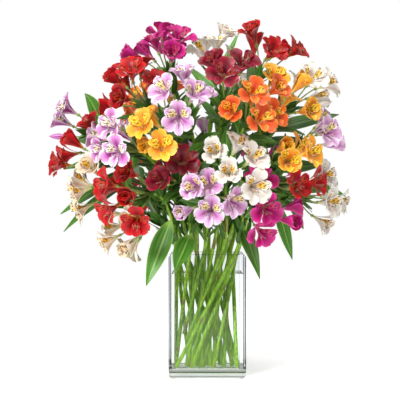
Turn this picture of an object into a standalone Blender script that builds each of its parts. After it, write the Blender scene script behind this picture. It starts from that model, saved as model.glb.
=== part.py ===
"""A mixed bunch of alstroemeria stems in a square glass vase of water. Metres, +Z up.

The origin is under the middle of the vase, and the bunch is seen from the front by looking
along +Y. Every stem is one green node, with its leaves, and its umbel of flowers is another.
"""

import math
import random

import bmesh
import bpy
import numpy as np
from mathutils import Matrix, Vector

# The vase: clear glass, square, with a heavy floor
VASE_SIDE = 0.127
VASE_HEIGHT = 0.203
VASE_WALL = 0.0045
VASE_FLOOR = 0.016
VASE_OUTER_CORNER = 0.006
VASE_INNER_CORNER = 0.003
VASE_EDGE = 0.0012
WATER_LEVEL = 0.171
GAP = 0.0003
CUT_ABOVE = 0.02
# The holes in the water run below the stems' feet, and are a little wider than their facets
HOLE_BELOW = 0.004
HOLE_ROOM = 1.06

# The bunch: the umbels' middles lie on a dome, deeper to the front than to the back
DOME_MIDDLE = Vector((0.0, 0.0, 0.375))
DOME_HALF_WIDTH = 0.245
DOME_HALF_HEIGHT = 0.195
DOME_FRONT = 0.17
DOME_BACK = 0.135
FACING_FROM = Vector((0.0, 0.0, 0.30))

# One row for each stem: the colour, then x and z of the middle of its umbel, then how far
# that stands towards the front (-1) or the back (+1) of the dome, then its flowers and buds
HEADS = [
    ("magenta", -0.080, 0.545, -0.60, 7, 0),
    ("red", -0.122, 0.480, -0.85, 8, 0),
    ("white", 0.012, 0.548, -0.30, 4, 1),
    ("red", 0.106, 0.543, -0.45, 5, 0),
    ("crimson", 0.037, 0.497, -1.00, 4, 0),
    ("orange", 0.080, 0.446, -1.00, 6, 0),
    ("yellow", 0.134, 0.459, -0.90, 4, 0),
    ("white", 0.172, 0.483, -0.40, 4, 2),
    ("lilac", 0.192, 0.400, -0.60, 4, 0),
    ("lilac", -0.039, 0.456, -1.00, 5, 0),
    ("purple", -0.240, 0.426, 0.00, 2, 1),
    ("purple", -0.143, 0.392, -1.00, 5, 0),
    ("yellow", -0.087, 0.397, -1.00, 4, 0),
    ("red", -0.217, 0.378, -0.50, 4, 0),
    ("cream", -0.205, 0.322, -0.70, 4, 0),
    ("red", -0.130, 0.303, -1.00, 6, 0),
    ("crimson", -0.070, 0.331, -0.92, 3, 0),
    ("cream", -0.145, 0.243, -1.00, 6, 0),
    ("white", 0.051, 0.349, -1.05, 5, 0),
    ("lilac", 0.000, 0.297, -1.05, 5, 0),
    ("magenta", 0.107, 0.282, -1.00, 5, 0),
    ("red", 0.143, 0.327, -1.00, 2, 0),
    ("yellow", 0.138, 0.368, -1.00, 4, 0),
    ("white", 0.200, 0.298, -0.60, 5, 1),
    ("orange", -0.095, 0.470, 0.90, 7, 0),
    ("white", 0.055, 0.475, 0.90, 7, 0),
    ("red", -0.115, 0.335, 0.95, 7, 0),
    ("magenta", 0.120, 0.345, 0.95, 7, 0),
    ("lilac", 0.000, 0.385, 1.00, 6, 0),
]

# A flower: a funnel of six tepals that fits in a ball about its middle
FLOWER_LENGTH = 0.030
FLOWER_RADIUS = 0.0255
FLOWER_MIDDLE = 0.018
FLOWER_BALL = 0.0272
THROAT_RADIUS = 0.0085
THROAT_HEIGHT = 0.013
FUNNEL_FLOOR = 0.006
# The edge of a broad and of a narrow tepal: the angle from its middle line, and the shares of
# the flower's radius and length
BROAD_TEPAL = [(-26, 0.93, 0.80), (0, 1.0, 0.92), (26, 0.93, 0.80)]
NARROW_TEPAL = [(-13, 0.86, 0.95), (13, 0.86, 0.95)]
PEDICEL_RADIUS = 0.0013
PEDICEL_START = 0.001
BUD_RADIUS = 0.0046
BUD_WIDEST = 0.008
BUD_LENGTH = 0.026
BUD_BALL = 0.0145
UMBEL_SPREAD = 0.0205
UMBEL_REACH = 0.062
HUB_BEHIND = 0.058
UMBEL_CORE = 0.019
CORE_AHEAD = 0.024
SAME_UMBEL = 0.78
BETWEEN_UMBELS = 0.0012
LOWEST_FLOWER = 0.215
SPREAD_TURNS = 400
FLOWER_PUSH = 0.30
CORE_PUSH = 0.5
PULLED_TURNS = 250
PULL_HOME = 0.04
ROLL = 0.4
NOD = 0.25
TILT = 0.34
HUB_RADIUS = 0.0032
HUB_HALF = 0.003

# The stems: straight and twisted together in the vase, then bent out to their umbels
STEM_FOOT_RADIUS = 0.0031
STEM_TOP_RADIUS = 0.0021
STEM_SPACING = 0.0215
SPACING_TURNS = 400
SPACING_PUSH = 0.35
RIM_REACH = 0.0505
RIM_ABOVE = 0.003
TWIST = math.radians(-90)
ARRIVE_SHARE = 0.9
BEND_POINTS = 5
# The stems that were cut short, and the share of the way up the vase where their feet are
SHORT_STEMS = {19: 0.24, 20: 0.28}

# The leaves, each a thin keeled blade
LEAF_LENGTHS = (0.105, 0.086, 0.068, 0.052)
LEAF_HALF_WIDTH = 0.0140
LEAF_THICKNESS = 0.0011
LEAF_STATIONS = (0.16, 0.42, 0.74)
LEAF_WIDEST_EARLY = 0.8
LEAF_FULLNESS = 0.9
LEAF_SLIMMING = 0.5
LEAF_TRIES = 10
LEAF_LIFTS = (0.5, 0.85, 1.2)
LIFT_AT_ROOT = 0.7
LEAF_NEAR_HALF = 0.5
LEAF_FAR_HALF = 0.55
LEAF_DROOP = 0.25
LEAF_CLEAR = 0.0012
LEAF_EXTRA = 0.0008
LEAF_SHARES = (0.965, 0.93, 0.88, 0.80, 0.71, 0.61, 0.50)
LEAF_NEAR = 0.16
LEAF_SAMPLES = [k / 9 for k in range(1, 10)]
LEAF_LOWEST = 0.012
OWN_ROOT = 0.020
ROUTE_STEP = 0.006
LEAVES_A_STEM = 7
LEAVES_IN_ALL = 108
GLASS_CLEAR = 0.002
WATER_CLEAR = 0.003
FLOOR_CLEAR = 0.004
PLACED_SHARES = [k / 20 for k in range(1, 20)]
PLACED_DEPTHS = (0.0, -0.02, 0.02, -0.045, 0.045, -0.07, 0.07)
PLACED_ARCHES = (0.12, 0.25, 0.02)
PLACED_MISS = 0.06
PLACED_LONGEST = 0.165
PLACED_BROADEST = 1.15
PLACED_FACE = Vector((0.0, -0.8, 0.6))
DEPTH_COST = 0.3
BACK_COST = 0.4
ARCH_COST = 0.02

# The gaps that the leaves close are counted in square cells, seen from the front and the side
CELL = 0.006
GAP_ORIGIN = -0.30
GAP_CELLS = 100
GAP_EDGE = 0.012
GAP_LOWEST = 0.235
FLOWER_COVERS = 0.015
VIEWS = ((0, 1.0), (1, 0.6))
BLADE_ACROSS = (-0.8, -0.4, 0.0, 0.4, 0.8)

# The leaves that show most: x and z near the root, x and z of the tip, and how broad each is
PLACED_LEAVES = [
    (-0.070, 0.255, -0.098, 0.155, 1.1),
    (0.060, 0.240, 0.084, 0.165, 0.9),
    (0.120, 0.270, 0.142, 0.192, 0.8),
    (-0.160, 0.270, -0.245, 0.238, 0.7),
    (-0.170, 0.300, -0.252, 0.268, 0.8),
    (-0.150, 0.400, -0.206, 0.472, 1.0),
    (-0.120, 0.360, -0.195, 0.400, 1.0),
    (-0.170, 0.330, -0.246, 0.345, 0.9),
    (0.045, 0.480, 0.056, 0.584, 0.4),
    (0.085, 0.480, 0.078, 0.560, 0.5),
    (0.160, 0.410, 0.228, 0.440, 0.9),
    (0.160, 0.330, 0.240, 0.298, 0.9),
    (0.130, 0.320, 0.200, 0.352, 1.0),
    (-0.030, 0.330, -0.008, 0.405, 1.3),
    (0.020, 0.340, 0.030, 0.410, 1.1),
    (-0.040, 0.235, -0.052, 0.180, 1.2),
]

# The turn between two seeds of a sunflower, straight up, and the sine below which two
# directions count as one
GOLDEN = math.radians(137.5)
UP = Vector((0.0, 0.0, 1.0))
NEARLY_ALONG = 0.2

COLOURS = {
    "magenta": (0.62, 0.02, 0.20),
    "red": (0.60, 0.01, 0.02),
    "crimson": (0.29, 0.01, 0.05),
    "white": (0.86, 0.83, 0.78),
    "cream": (0.83, 0.75, 0.55),
    "orange": (0.85, 0.19, 0.05),
    "yellow": (0.88, 0.40, 0.05),
    "lilac": (0.64, 0.33, 0.63),
    "purple": (0.45, 0.10, 0.42),
    "green": (0.13, 0.27, 0.03),
    "glass": (0.90, 0.94, 0.93),
    "water": (0.85, 0.92, 0.90),
}
CLEAR_IORS = {"glass": 1.5, "water": 1.33}
GLOSSY = 0.05
SATIN = 0.5


def clear_scene():
    for old in list(bpy.data.objects):
        bpy.data.objects.remove(old, do_unlink=True)


# Where everything goes


def head_middle(row):
    """The middle of an umbel, on the dome."""
    _, x, z, share, _, _ = row
    across = (x / DOME_HALF_WIDTH) ** 2
    upright = ((z - DOME_MIDDLE.z) / DOME_HALF_HEIGHT) ** 2
    depth = DOME_BACK if share > 0 else DOME_FRONT
    return Vector((x, share * depth * math.sqrt(max(0.0, 1 - across - upright)), z))


def side_axes(axis, face=UP):
    """Two directions square to the axis: one sideways, and one as near to face as it can be."""
    right = axis.cross(face)
    if right.length < NEARLY_ALONG:
        right = axis.cross(Vector((0.0, 1.0, 0.0)))
    right.normalize()
    return right, right.cross(axis).normalized()


def start_flowers(middle, outward, count, turn):
    """The flowers' middles on the cap of an umbel, spread as seeds are in a sunflower."""
    hub = middle - outward * HUB_BEHIND
    right, up = side_axes(outward)
    places = []
    for k in range(count):
        out = UMBEL_SPREAD * math.sqrt(k + 0.5)
        angle = turn + k * GOLDEN
        offset = right * (out * math.cos(angle)) + up * (out * math.sin(angle))
        places.append(hub + (outward * UMBEL_REACH + offset).normalized() * UMBEL_REACH)
    return hub, places


def spread_apart(places, sizes, owners, hubs, outwards):
    """Moves the flowers a little, until those of two umbels are clear of each other."""
    at = np.array(places)
    home = at.copy()
    ball = np.array(sizes)
    owner = np.array(owners)
    pair = ball[:, None] + ball[None, :]
    least = np.where(owner[:, None] == owner[None, :], SAME_UMBEL * pair, pair + BETWEEN_UMBELS)
    core = np.array([hub + out * CORE_AHEAD for hub, out in zip(hubs, outwards)])
    core_least = (ball + UMBEL_CORE)[:, None]
    not_own = owner[:, None] != np.arange(len(hubs))[None, :]
    for turn in range(SPREAD_TURNS):
        away = at[:, None, :] - at[None, :, :]
        far = np.linalg.norm(away, axis=2) + np.eye(len(at))
        push = np.clip(least - far, 0, None) * (1 - np.eye(len(at)))
        step = (away / far[:, :, None] * push[:, :, None]).sum(axis=1) * FLOWER_PUSH
        from_core = at[:, None, :] - core[None, :, :]
        core_far = np.linalg.norm(from_core, axis=2)
        core_push = np.clip(core_least - core_far, 0, None) * not_own
        step += (from_core / core_far[:, :, None] * core_push[:, :, None]).sum(axis=1) * CORE_PUSH
        pull = PULL_HOME if turn < PULLED_TURNS else 0.0
        at = at + step + (home - at) * pull
        at[:, 2] = np.maximum(at[:, 2], LOWEST_FLOWER)
    return [Vector(p) for p in at]


def rim_places(hubs):
    """Where each stem crosses the square mouth, with the low umbels' stems at its edge."""
    points = []
    for hub in hubs:
        flat = Vector((hub.x, hub.y)).normalized()
        lean = math.atan2(math.hypot(hub.x, hub.y), hub.z - VASE_HEIGHT) / (math.pi / 2)
        points.append(flat * min(1.0, lean) * RIM_REACH / max(abs(flat.x), abs(flat.y)))
    at = np.array(points)
    for _ in range(SPACING_TURNS):
        away = at[:, None, :] - at[None, :, :]
        far = np.linalg.norm(away, axis=2) + np.eye(len(at))
        push = np.clip(STEM_SPACING - far, 0, None) * (1 - np.eye(len(at)))
        at = at + (away / far[:, :, None] * push[:, :, None]).sum(axis=1) * SPACING_PUSH
        at = np.clip(at, -RIM_REACH, RIM_REACH)
    return [Vector(p) for p in at]


def stem_points(rim, hub, outward, cut):
    """A straight run from the foot to the mouth, then a smooth bend that ends under the umbel."""
    turned = Matrix.Rotation(TWIST, 2) @ rim
    lean = (rim - turned).length / (VASE_HEIGHT - VASE_FLOOR)
    foot = Vector((turned.x, turned.y, VASE_FLOOR + GAP + STEM_FOOT_RADIUS * lean))
    mouth = Vector((rim.x, rim.y, VASE_HEIGHT + RIM_ABOVE))
    end = hub - outward * (HUB_HALF + GAP)
    reach = (end - mouth).length
    leave = (mouth - foot).normalized() * reach
    arrive = outward * reach * ARRIVE_SHARE
    bend = []
    for k in range(1, BEND_POINTS + 1):
        t = k / BEND_POINTS
        bend.append(
            mouth * (2 * t**3 - 3 * t**2 + 1)
            + leave * (t**3 - 2 * t**2 + t)
            + end * (3 * t**2 - 2 * t**3)
            + arrive * (t**3 - t**2)
        )
    arriving = (bend[-1] - bend[-2]).normalized()
    bend[-1] = hub - arriving * (HUB_HALF + GAP)
    return [foot.lerp(mouth, cut), mouth] + bend


def along(points, share):
    """The place and direction at a share of the length of a run of points."""
    lengths = [(b - a).length for a, b in zip(points, points[1:])]
    left = share * sum(lengths)
    for a, b, length in zip(points, points[1:], lengths):
        if left <= length:
            return a.lerp(b, left / length), (b - a).normalized()
        left -= length
    return points[-1].copy(), (points[-1] - points[-2]).normalized()


def curve_point(start, middle, end, t):
    return start * (1 - t) ** 2 + middle * (2 * t * (1 - t)) + end * t**2


def half_width(t):
    """The share of a leaf's half width at a share of its length, widest before its middle."""
    return math.sin(math.pi * min(1.0, t) ** LEAF_WIDEST_EARLY) ** LEAF_FULLNESS


LEAF_HALVES = [half_width(t) for t in LEAF_SAMPLES]


def filled(points, step):
    """The run of points with more between them, no further apart than step."""
    out = [points[0]]
    for a, b in zip(points, points[1:]):
        parts = max(1, math.ceil((b - a).length / step))
        out += [a.lerp(b, k / parts) for k in range(1, parts + 1)]
    return out


def flower_pose(hub, middle, ball, roll, tilt):
    """The middle and base of a flower or bud, the way it faces, its upright, and its ball."""
    axis = (middle - hub).normalized()
    level = Vector((axis.x, axis.y, 0.0))
    axis = (axis + level * NOD + tilt * TILT).normalized()
    right, up = side_axes(axis)
    up = Matrix.Rotation(roll, 3, axis) @ up
    back = FLOWER_MIDDLE if ball == FLOWER_BALL else BUD_LENGTH / 2
    return middle, middle - axis * back, axis, up, ball


def pedicel_ends(hub, outward, base):
    """A pedicel runs from just above the hub's middle to the base of its flower."""
    return [hub + outward * PEDICEL_START, base]


def in_glass(points, wide):
    """True if a leaf would cut the vase or reach into the water."""
    half = VASE_SIDE / 2
    for p, w in zip(points, wide):
        beside = max(abs(p.x), abs(p.y))
        near_wall = half - VASE_WALL - w - GLASS_CLEAR < beside < half + w + GLASS_CLEAR
        if p.z - w < VASE_HEIGHT + WATER_CLEAR and near_wall:
            return True
        if p.z - w < WATER_LEVEL + WATER_CLEAR and beside < half:
            return True
        if p.z - w < FLOOR_CLEAR:
            return True
    return False


def leaf_choices(root, along_stem, first_turn):
    """Every way that a leaf may leave the stem: round it, lifted from it, and long or short."""
    right, up = side_axes(along_stem)
    for length in LEAF_LENGTHS:
        width = LEAF_HALF_WIDTH * (length / LEAF_LENGTHS[0]) ** LEAF_SLIMMING
        for lift in LEAF_LIFTS:
            for k in range(LEAF_TRIES):
                angle = first_turn + 2 * math.pi * k / LEAF_TRIES
                out = right * math.cos(angle) + up * math.sin(angle)
                low = lift * LIFT_AT_ROOT
                start = along_stem * math.cos(low) + out * math.sin(low)
                drift = along_stem * math.cos(lift) + out * math.sin(lift)
                drift = (drift - UP * LEAF_DROOP * math.sin(lift)).normalized()
                middle = root + start * length * LEAF_NEAR_HALF
                tip = middle + drift * length * LEAF_FAR_HALF
                outside = (middle - FACING_FROM).normalized()
                for face in (UP, outside):
                    yield root, middle, tip, width, face


def placed_choices(row, stems):
    """Every way from a stem to a tip that is seen where the row puts it, nearest first."""
    x, z, tip_x, tip_z, breadth = row
    found = []
    for i, points in enumerate(stems):
        for share in PLACED_SHARES:
            root, _ = along(points[1:], share)
            miss = math.hypot(root.x - x, root.z - z)
            if miss > PLACED_MISS:
                continue
            for depth in PLACED_DEPTHS:
                tip = Vector((tip_x, root.y + depth, tip_z))
                length = (tip - root).length
                if length > PLACED_LONGEST:
                    continue
                for arch in PLACED_ARCHES:
                    middle = root.lerp(tip, 0.5) + UP * length * arch
                    slimmed = min(PLACED_BROADEST, (length / LEAF_LENGTHS[0]) ** LEAF_SLIMMING)
                    width = LEAF_HALF_WIDTH * breadth * slimmed
                    cost = miss + abs(depth) * DEPTH_COST + root.y * BACK_COST + arch * ARCH_COST
                    found.append((cost, i, (root, middle, tip, width, PLACED_FACE)))
    return sorted(found, key=lambda choice: choice[0])


def leaf_balls(shape):
    """Balls along a leaf that fill its width, as their middles and radii."""
    start, middle, tip, width, _ = shape
    points = [curve_point(start, middle, tip, t) for t in LEAF_SAMPLES]
    return points, [width * half + LEAF_EXTRA for half in LEAF_HALVES]


class Gaps:
    """The cells of the dome that nothing covers yet, seen from the front and from the side."""

    def __init__(self):
        self.open = []
        middles = (np.arange(GAP_CELLS) + 0.5) * CELL
        for side, _ in VIEWS:
            reach = DOME_HALF_WIDTH if side == 0 else DOME_FRONT
            across = ((middles + GAP_ORIGIN) / (reach + GAP_EDGE)) ** 2
            upright = ((middles - DOME_MIDDLE.z) / (DOME_HALF_HEIGHT + GAP_EDGE)) ** 2
            inside = across[:, None] + upright[None, :] < 1
            self.open.append(inside & (middles > GAP_LOWEST)[None, :])

    def cells(self, points, side):
        """The numbers of the cells where the points are seen."""
        column = ((points[:, side] - GAP_ORIGIN) / CELL).astype(int).clip(0, GAP_CELLS - 1)
        row = (points[:, 2] / CELL).astype(int).clip(0, GAP_CELLS - 1)
        return column * GAP_CELLS + row

    def close(self, points):
        for (side, _), seen in zip(VIEWS, self.open):
            seen.reshape(-1)[self.cells(points, side)] = False

    def closed_by(self, points):
        """How many open cells the points would close, with the front's counted in full."""
        total = 0.0
        for (side, weight), seen in zip(VIEWS, self.open):
            cells = np.unique(self.cells(points, side))
            total += weight * seen.reshape(-1)[cells].sum()
        return total


def disc_points(middle, radius):
    """Points all through a ball, to cover its round shadow from any side."""
    steps = np.arange(-radius, radius + CELL / 2, CELL / 2)
    grid = np.stack(np.meshgrid(steps, steps, steps), axis=-1).reshape(-1, 3)
    return grid[np.linalg.norm(grid, axis=1) <= radius] + np.array(middle)


def blade_points(shape):
    """Points all over a leaf's blade."""
    start, middle, tip, width, face = shape
    side, _ = side_axes((tip - start).normalized(), face)
    t = np.array(LEAF_SAMPLES)[:, None]
    spine = np.array(start) * (1 - t) ** 2 + np.array(middle) * 2 * t * (1 - t) + np.array(tip) * t**2
    across = np.outer(LEAF_HALVES, BLADE_ACROSS)[:, :, None] * np.array(side) * width
    return (spine[:, None, :] + across).reshape(-1, 3)


class Taken:
    """The room that is already taken, as balls, each with the stem that it belongs to."""

    def __init__(self):
        self.centres = []
        self.radii = []
        self.owners = []

    def block(self, points, radii, owner):
        for point, radius in zip(points, radii):
            self.centres.append(tuple(point))
            self.radii.append(radius)
            self.owners.append(owner)

    def near(self, root, stem):
        """The balls within a leaf's reach of its root, without the stem's own at the root."""
        at = np.array(self.centres)
        radii = np.array(self.radii)
        far = np.linalg.norm(at - np.array(root), axis=1)
        own = (np.array(self.owners) == stem) & (far < OWN_ROOT)
        keep = (far < LEAF_NEAR) & ~own
        return at[keep], radii[keep]


def first_clear(shapes, near):
    """The first of the shapes that is clear of the vase and of all that is near."""
    centres, radii = near
    for shape in shapes:
        points, wide = leaf_balls(shape)
        if in_glass(points, wide):
            continue
        far = np.linalg.norm(np.array(points)[:, None, :] - centres[None, :, :], axis=2)
        if (far - radii[None, :] - np.array(wide)[:, None]).min() >= LEAF_CLEAR:
            return shape
    return None


def place_leaves(stems, flowers, hubs, outwards):
    """Gives the stems their leaves: first the ones that show most, then those that close gaps."""
    taken = Taken()
    gaps = Gaps()
    for i, points in enumerate(stems):
        run = filled(points[1:], ROUTE_STEP)
        taken.block(run, [STEM_FOOT_RADIUS + LEAF_EXTRA] * len(run), i)
    for i, blooms in enumerate(flowers):
        taken.block([hubs[i]], [HUB_RADIUS + LEAF_EXTRA], -1)
        for middle, base, _, _, ball in blooms:
            run = filled(pedicel_ends(hubs[i], outwards[i], base), ROUTE_STEP)
            taken.block([middle], [ball], -1)
            taken.block(run, [PEDICEL_RADIUS + LEAF_EXTRA] * len(run), -1)
            gaps.close(disc_points(middle, FLOWER_COVERS if ball == FLOWER_BALL else BUD_RADIUS))
    leaves = [[] for _ in stems]

    def keep(i, shape):
        leaves[i].append(shape)
        taken.block(*leaf_balls(shape), i)
        gaps.close(blade_points(shape))

    for row in PLACED_LEAVES:
        for _, i, shape in placed_choices(row, stems):
            if first_clear([shape], taken.near(shape[0], i)):
                keep(i, shape)
                break
    rng = random.Random(7)
    for share in LEAF_SHARES:
        for i, points in enumerate(stems):
            root, direction = along(points[1:], share)
            first_turn = rng.uniform(0, 2 * math.pi)
            full = len(leaves[i]) >= LEAVES_A_STEM or sum(map(len, leaves)) >= LEAVES_IN_ALL
            if root.z < VASE_HEIGHT + LEAF_LOWEST or full:
                continue
            shapes = list(leaf_choices(root, direction, first_turn))
            worth = [gaps.closed_by(blade_points(shape)) for shape in shapes]
            order = sorted(range(len(shapes)), key=lambda k: -worth[k])
            found = first_clear([shapes[k] for k in order if worth[k] > 0], taken.near(root, i))
            if found:
                keep(i, found)
    return leaves


def lay_out():
    """The whole bunch: the hubs, their outward axes, the flowers, the stems and the leaves."""
    middles = [head_middle(row) for row in HEADS]
    outwards = [(m - FACING_FROM).normalized() for m in middles]
    rng = random.Random(3)
    hubs, places, sizes, owners = [], [], [], []
    for i, (row, middle, outward) in enumerate(zip(HEADS, middles, outwards)):
        hub, found = start_flowers(middle, outward, row[4] + row[5], rng.uniform(0, 2 * math.pi))
        hubs.append(hub)
        places += found
        sizes += [FLOWER_BALL] * row[4] + [BUD_BALL] * row[5]
        owners += [i] * len(found)
    places = spread_apart(places, sizes, owners, hubs, outwards)
    flowers = [[] for _ in HEADS]
    for i, middle, ball in zip(owners, places, sizes):
        roll = rng.uniform(-ROLL, ROLL)
        tilt = Vector([rng.uniform(-1, 1) for _ in range(3)])
        flowers[i].append(flower_pose(hubs[i], middle, ball, roll, tilt))
    stems = []
    for i, rim in enumerate(rim_places(hubs)):
        stems.append(stem_points(rim, hubs[i], outwards[i], SHORT_STEMS.get(i + 1, 0.0)))
    return hubs, outwards, flowers, stems, place_leaves(stems, flowers, hubs, outwards)


# The solids


def material(name):
    made = bpy.data.materials.get(name)
    if made:
        return made
    made = bpy.data.materials.new(name)
    made.use_nodes = True
    shader = made.node_tree.nodes["Principled BSDF"]
    shader.inputs["Base Color"].default_value = (*COLOURS[name], 1.0)
    shader.inputs["Metallic"].default_value = 0.0
    shader.inputs["Roughness"].default_value = SATIN
    if name in CLEAR_IORS:
        shader.inputs["Roughness"].default_value = GLOSSY
        shader.inputs["Transmission Weight"].default_value = 1.0
        shader.inputs["IOR"].default_value = CLEAR_IORS[name]
    return made


def show(obj, name, colour):
    obj.name = name
    obj.data.materials.clear()
    obj.data.materials.append(material(colour))
    return obj


def from_bmesh(bm, name, collection):
    bmesh.ops.recalc_face_normals(bm, faces=bm.faces)
    mesh = bpy.data.meshes.new(name)
    bm.to_mesh(mesh)
    bm.free()
    obj = bpy.data.objects.new(name, mesh)
    collection.objects.link(obj)
    return obj


def tube(points, radii, name, collection, resolution=1):
    """A tapered tube through the points, as a welded mesh with its ends closed."""
    curve = bpy.data.curves.new(name, "CURVE")
    curve.dimensions = "3D"
    curve.bevel_depth = 1.0
    curve.bevel_resolution = resolution
    curve.use_fill_caps = True
    line = curve.splines.new("POLY")
    line.points.add(len(points) - 1)
    for point, place, radius in zip(line.points, points, radii):
        point.co = (*place, 1.0)
        point.radius = radius
    guide = bpy.data.objects.new(name, curve)
    collection.objects.link(guide)
    bpy.context.view_layer.update()
    graph = bpy.context.evaluated_depsgraph_get()
    mesh = bpy.data.meshes.new_from_object(guide.evaluated_get(graph))
    bm = bmesh.new()
    bm.from_mesh(mesh)
    bpy.data.meshes.remove(mesh)
    bpy.data.objects.remove(guide)
    bmesh.ops.remove_doubles(bm, verts=bm.verts, dist=1e-5)
    return from_bmesh(bm, name, collection)


def tepal_rim():
    """The edge of the six tepals as angle, radius and height: three broad ones, three narrow."""
    rim = []
    for k in range(6):
        middle = math.pi / 2 + k * math.pi / 3
        rim.append((middle - math.pi / 6, THROAT_RADIUS, THROAT_HEIGHT))
        for turn, out, height in BROAD_TEPAL if k % 2 == 0 else NARROW_TEPAL:
            rim.append((middle + math.radians(turn), FLOWER_RADIUS * out, FLOWER_LENGTH * height))
    return rim


def pedicel(bm, hub, outward, pose):
    """Adds a three-sided pedicel to the mesh, and gives its last ring of corners."""
    _, base, axis, up, _ = pose
    start, end = pedicel_ends(hub, outward, base)
    ahead = (end - start).normalized()
    # the first ring is turned like the last, so that the stalk doesn't wring
    over = (up - ahead * up.dot(ahead)).normalized()
    rings = []
    for place, face, rise in ((start, ahead, over), (end, axis, up)):
        side = face.cross(rise).normalized()
        ring = []
        for j in range(3):
            angle = math.pi / 2 + j * 2 * math.pi / 3
            offset = side * math.cos(angle) + rise * math.sin(angle)
            ring.append(bm.verts.new(place + offset * PEDICEL_RADIUS))
        rings.append(ring)
    bm.faces.new(rings[0])
    wall(bm, rings[0], rings[1])
    return rings[1]


def wall(bm, low, high):
    """Joins two rings of three corners with triangles."""
    for j in range(3):
        a, b = low[j], low[(j + 1) % 3]
        c, d = high[j], high[(j + 1) % 3]
        bm.faces.new((a, b, d))
        bm.faces.new((a, d, c))


def flower(hub, outward, pose, name, collection):
    """A flower on its pedicel: the stalk fans out from its end into a funnel of six tepals."""
    _, base, axis, up, _ = pose
    right = axis.cross(up).normalized()
    bm = bmesh.new()
    stalk = pedicel(bm, hub, outward, pose)
    edge = []
    for angle, out, height in tepal_rim():
        offset = right * math.cos(angle) + up * math.sin(angle)
        edge.append(bm.verts.new(base + offset * out + axis * height))
    floor = bm.verts.new(base + axis * FUNNEL_FLOOR)
    share = len(edge) // 3
    for k, corner in enumerate(edge):
        after = edge[(k + 1) % len(edge)]
        bm.faces.new((floor, corner, after))
        # each corner of the stalk fans out to a third of the edge, centred on its own angle
        mine = stalk[((k + share // 2 - 1) // share) % 3]
        bm.faces.new((mine, after, corner))
        following = stalk[((k + share // 2) // share) % 3]
        if following is not mine:
            bm.faces.new((mine, following, after))
    return from_bmesh(bm, name, collection)


def bud(hub, outward, pose, name, collection):
    """A closed bud on its pedicel: the stalk swells, then draws in to a point."""
    _, base, axis, up, _ = pose
    right = axis.cross(up).normalized()
    bm = bmesh.new()
    stalk = pedicel(bm, hub, outward, pose)
    swell = []
    for j in range(3):
        angle = math.pi / 2 + j * 2 * math.pi / 3
        offset = right * math.cos(angle) + up * math.sin(angle)
        swell.append(bm.verts.new(base + offset * BUD_RADIUS + axis * BUD_WIDEST))
    wall(bm, stalk, swell)
    tip = bm.verts.new(base + axis * BUD_LENGTH)
    for j in range(3):
        bm.faces.new((swell[j], swell[(j + 1) % 3], tip))
    return from_bmesh(bm, name, collection)


def leaf(shape, name, collection):
    """A leaf with its root in the stem: a flat face with a keel under it, drawn out to a point."""
    start, middle, tip, width, face = shape
    bm = bmesh.new()
    root = bm.verts.new(start)
    point = bm.verts.new(tip)
    sections = []
    for t in LEAF_STATIONS:
        here = curve_point(start, middle, tip, t)
        ahead = curve_point(start, middle, tip, t + 0.02) - here
        side, over = side_axes(ahead.normalized(), face)
        half = width * half_width(t)
        sections.append([
            bm.verts.new(here - side * half + over * LEAF_THICKNESS / 2),
            bm.verts.new(here + side * half + over * LEAF_THICKNESS / 2),
            bm.verts.new(here - over * LEAF_THICKNESS),
        ])
    for k in range(3):
        bm.faces.new((root, sections[0][k], sections[0][(k + 1) % 3]))
        bm.faces.new((point, sections[-1][(k + 1) % 3], sections[-1][k]))
    for low, high in zip(sections, sections[1:]):
        wall(bm, low, high)
    return from_bmesh(bm, name, collection)


def joined(body, pieces):
    """The body with all the pieces joined to it as one solid. The pieces are then removed."""
    if not pieces:
        return body
    group = bpy.data.collections.new("to_join")
    bpy.context.scene.collection.children.link(group)
    for piece in pieces:
        for old in list(piece.users_collection):
            old.objects.unlink(piece)
        group.objects.link(piece)
    union = body.modifiers.new("Join", "BOOLEAN")
    union.operation = "UNION"
    union.operand_type = "COLLECTION"
    union.collection = group
    union.solver = "MANIFOLD"
    bpy.context.view_layer.update()
    graph = bpy.context.evaluated_depsgraph_get()
    mesh = bpy.data.meshes.new_from_object(body.evaluated_get(graph))
    body.modifiers.clear()
    body.data = mesh
    for piece in pieces:
        bpy.data.objects.remove(piece)
    bpy.data.collections.remove(group)
    return body


def rounded_box(half, low, high, corner, name, collection):
    """A square column with its upright edges rounded, and a small bevel round its foot."""
    bm = bmesh.new()
    bmesh.ops.create_cube(bm, size=1.0)
    bmesh.ops.scale(bm, vec=(2 * half, 2 * half, high - low), verts=bm.verts)
    bmesh.ops.translate(bm, vec=(0, 0, (high + low) / 2), verts=bm.verts)
    upright = [e for e in bm.edges if abs(e.verts[0].co.z - e.verts[1].co.z) > (high - low) / 2]
    bmesh.ops.bevel(bm, geom=upright, offset=corner, segments=3, profile=0.5, affect="EDGES")
    foot = [e for e in bm.edges if max(e.verts[0].co.z, e.verts[1].co.z) < low + 1e-6]
    bmesh.ops.bevel(bm, geom=foot, offset=VASE_EDGE, segments=1, affect="EDGES")
    return from_bmesh(bm, name, collection)


def make_vase(parts, cutters):
    body = rounded_box(VASE_SIDE / 2, 0.0, VASE_HEIGHT, VASE_OUTER_CORNER, "vase", parts)
    hollow = rounded_box(
        VASE_SIDE / 2 - VASE_WALL, VASE_FLOOR, VASE_HEIGHT + CUT_ABOVE, VASE_INNER_CORNER,
        "vase_hollow", cutters,
    )
    hollow.hide_render = True
    hollow.display_type = "WIRE"
    cut = body.modifiers.new("Hollow", "BOOLEAN")
    cut.operation = "DIFFERENCE"
    cut.object = hollow
    edge = body.modifiers.new("Edge", "BEVEL")
    edge.width = VASE_EDGE
    edge.segments = 1
    edge.limit_method = "ANGLE"
    edge.angle_limit = math.radians(60)
    return show(body, "vase", "glass")


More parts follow.
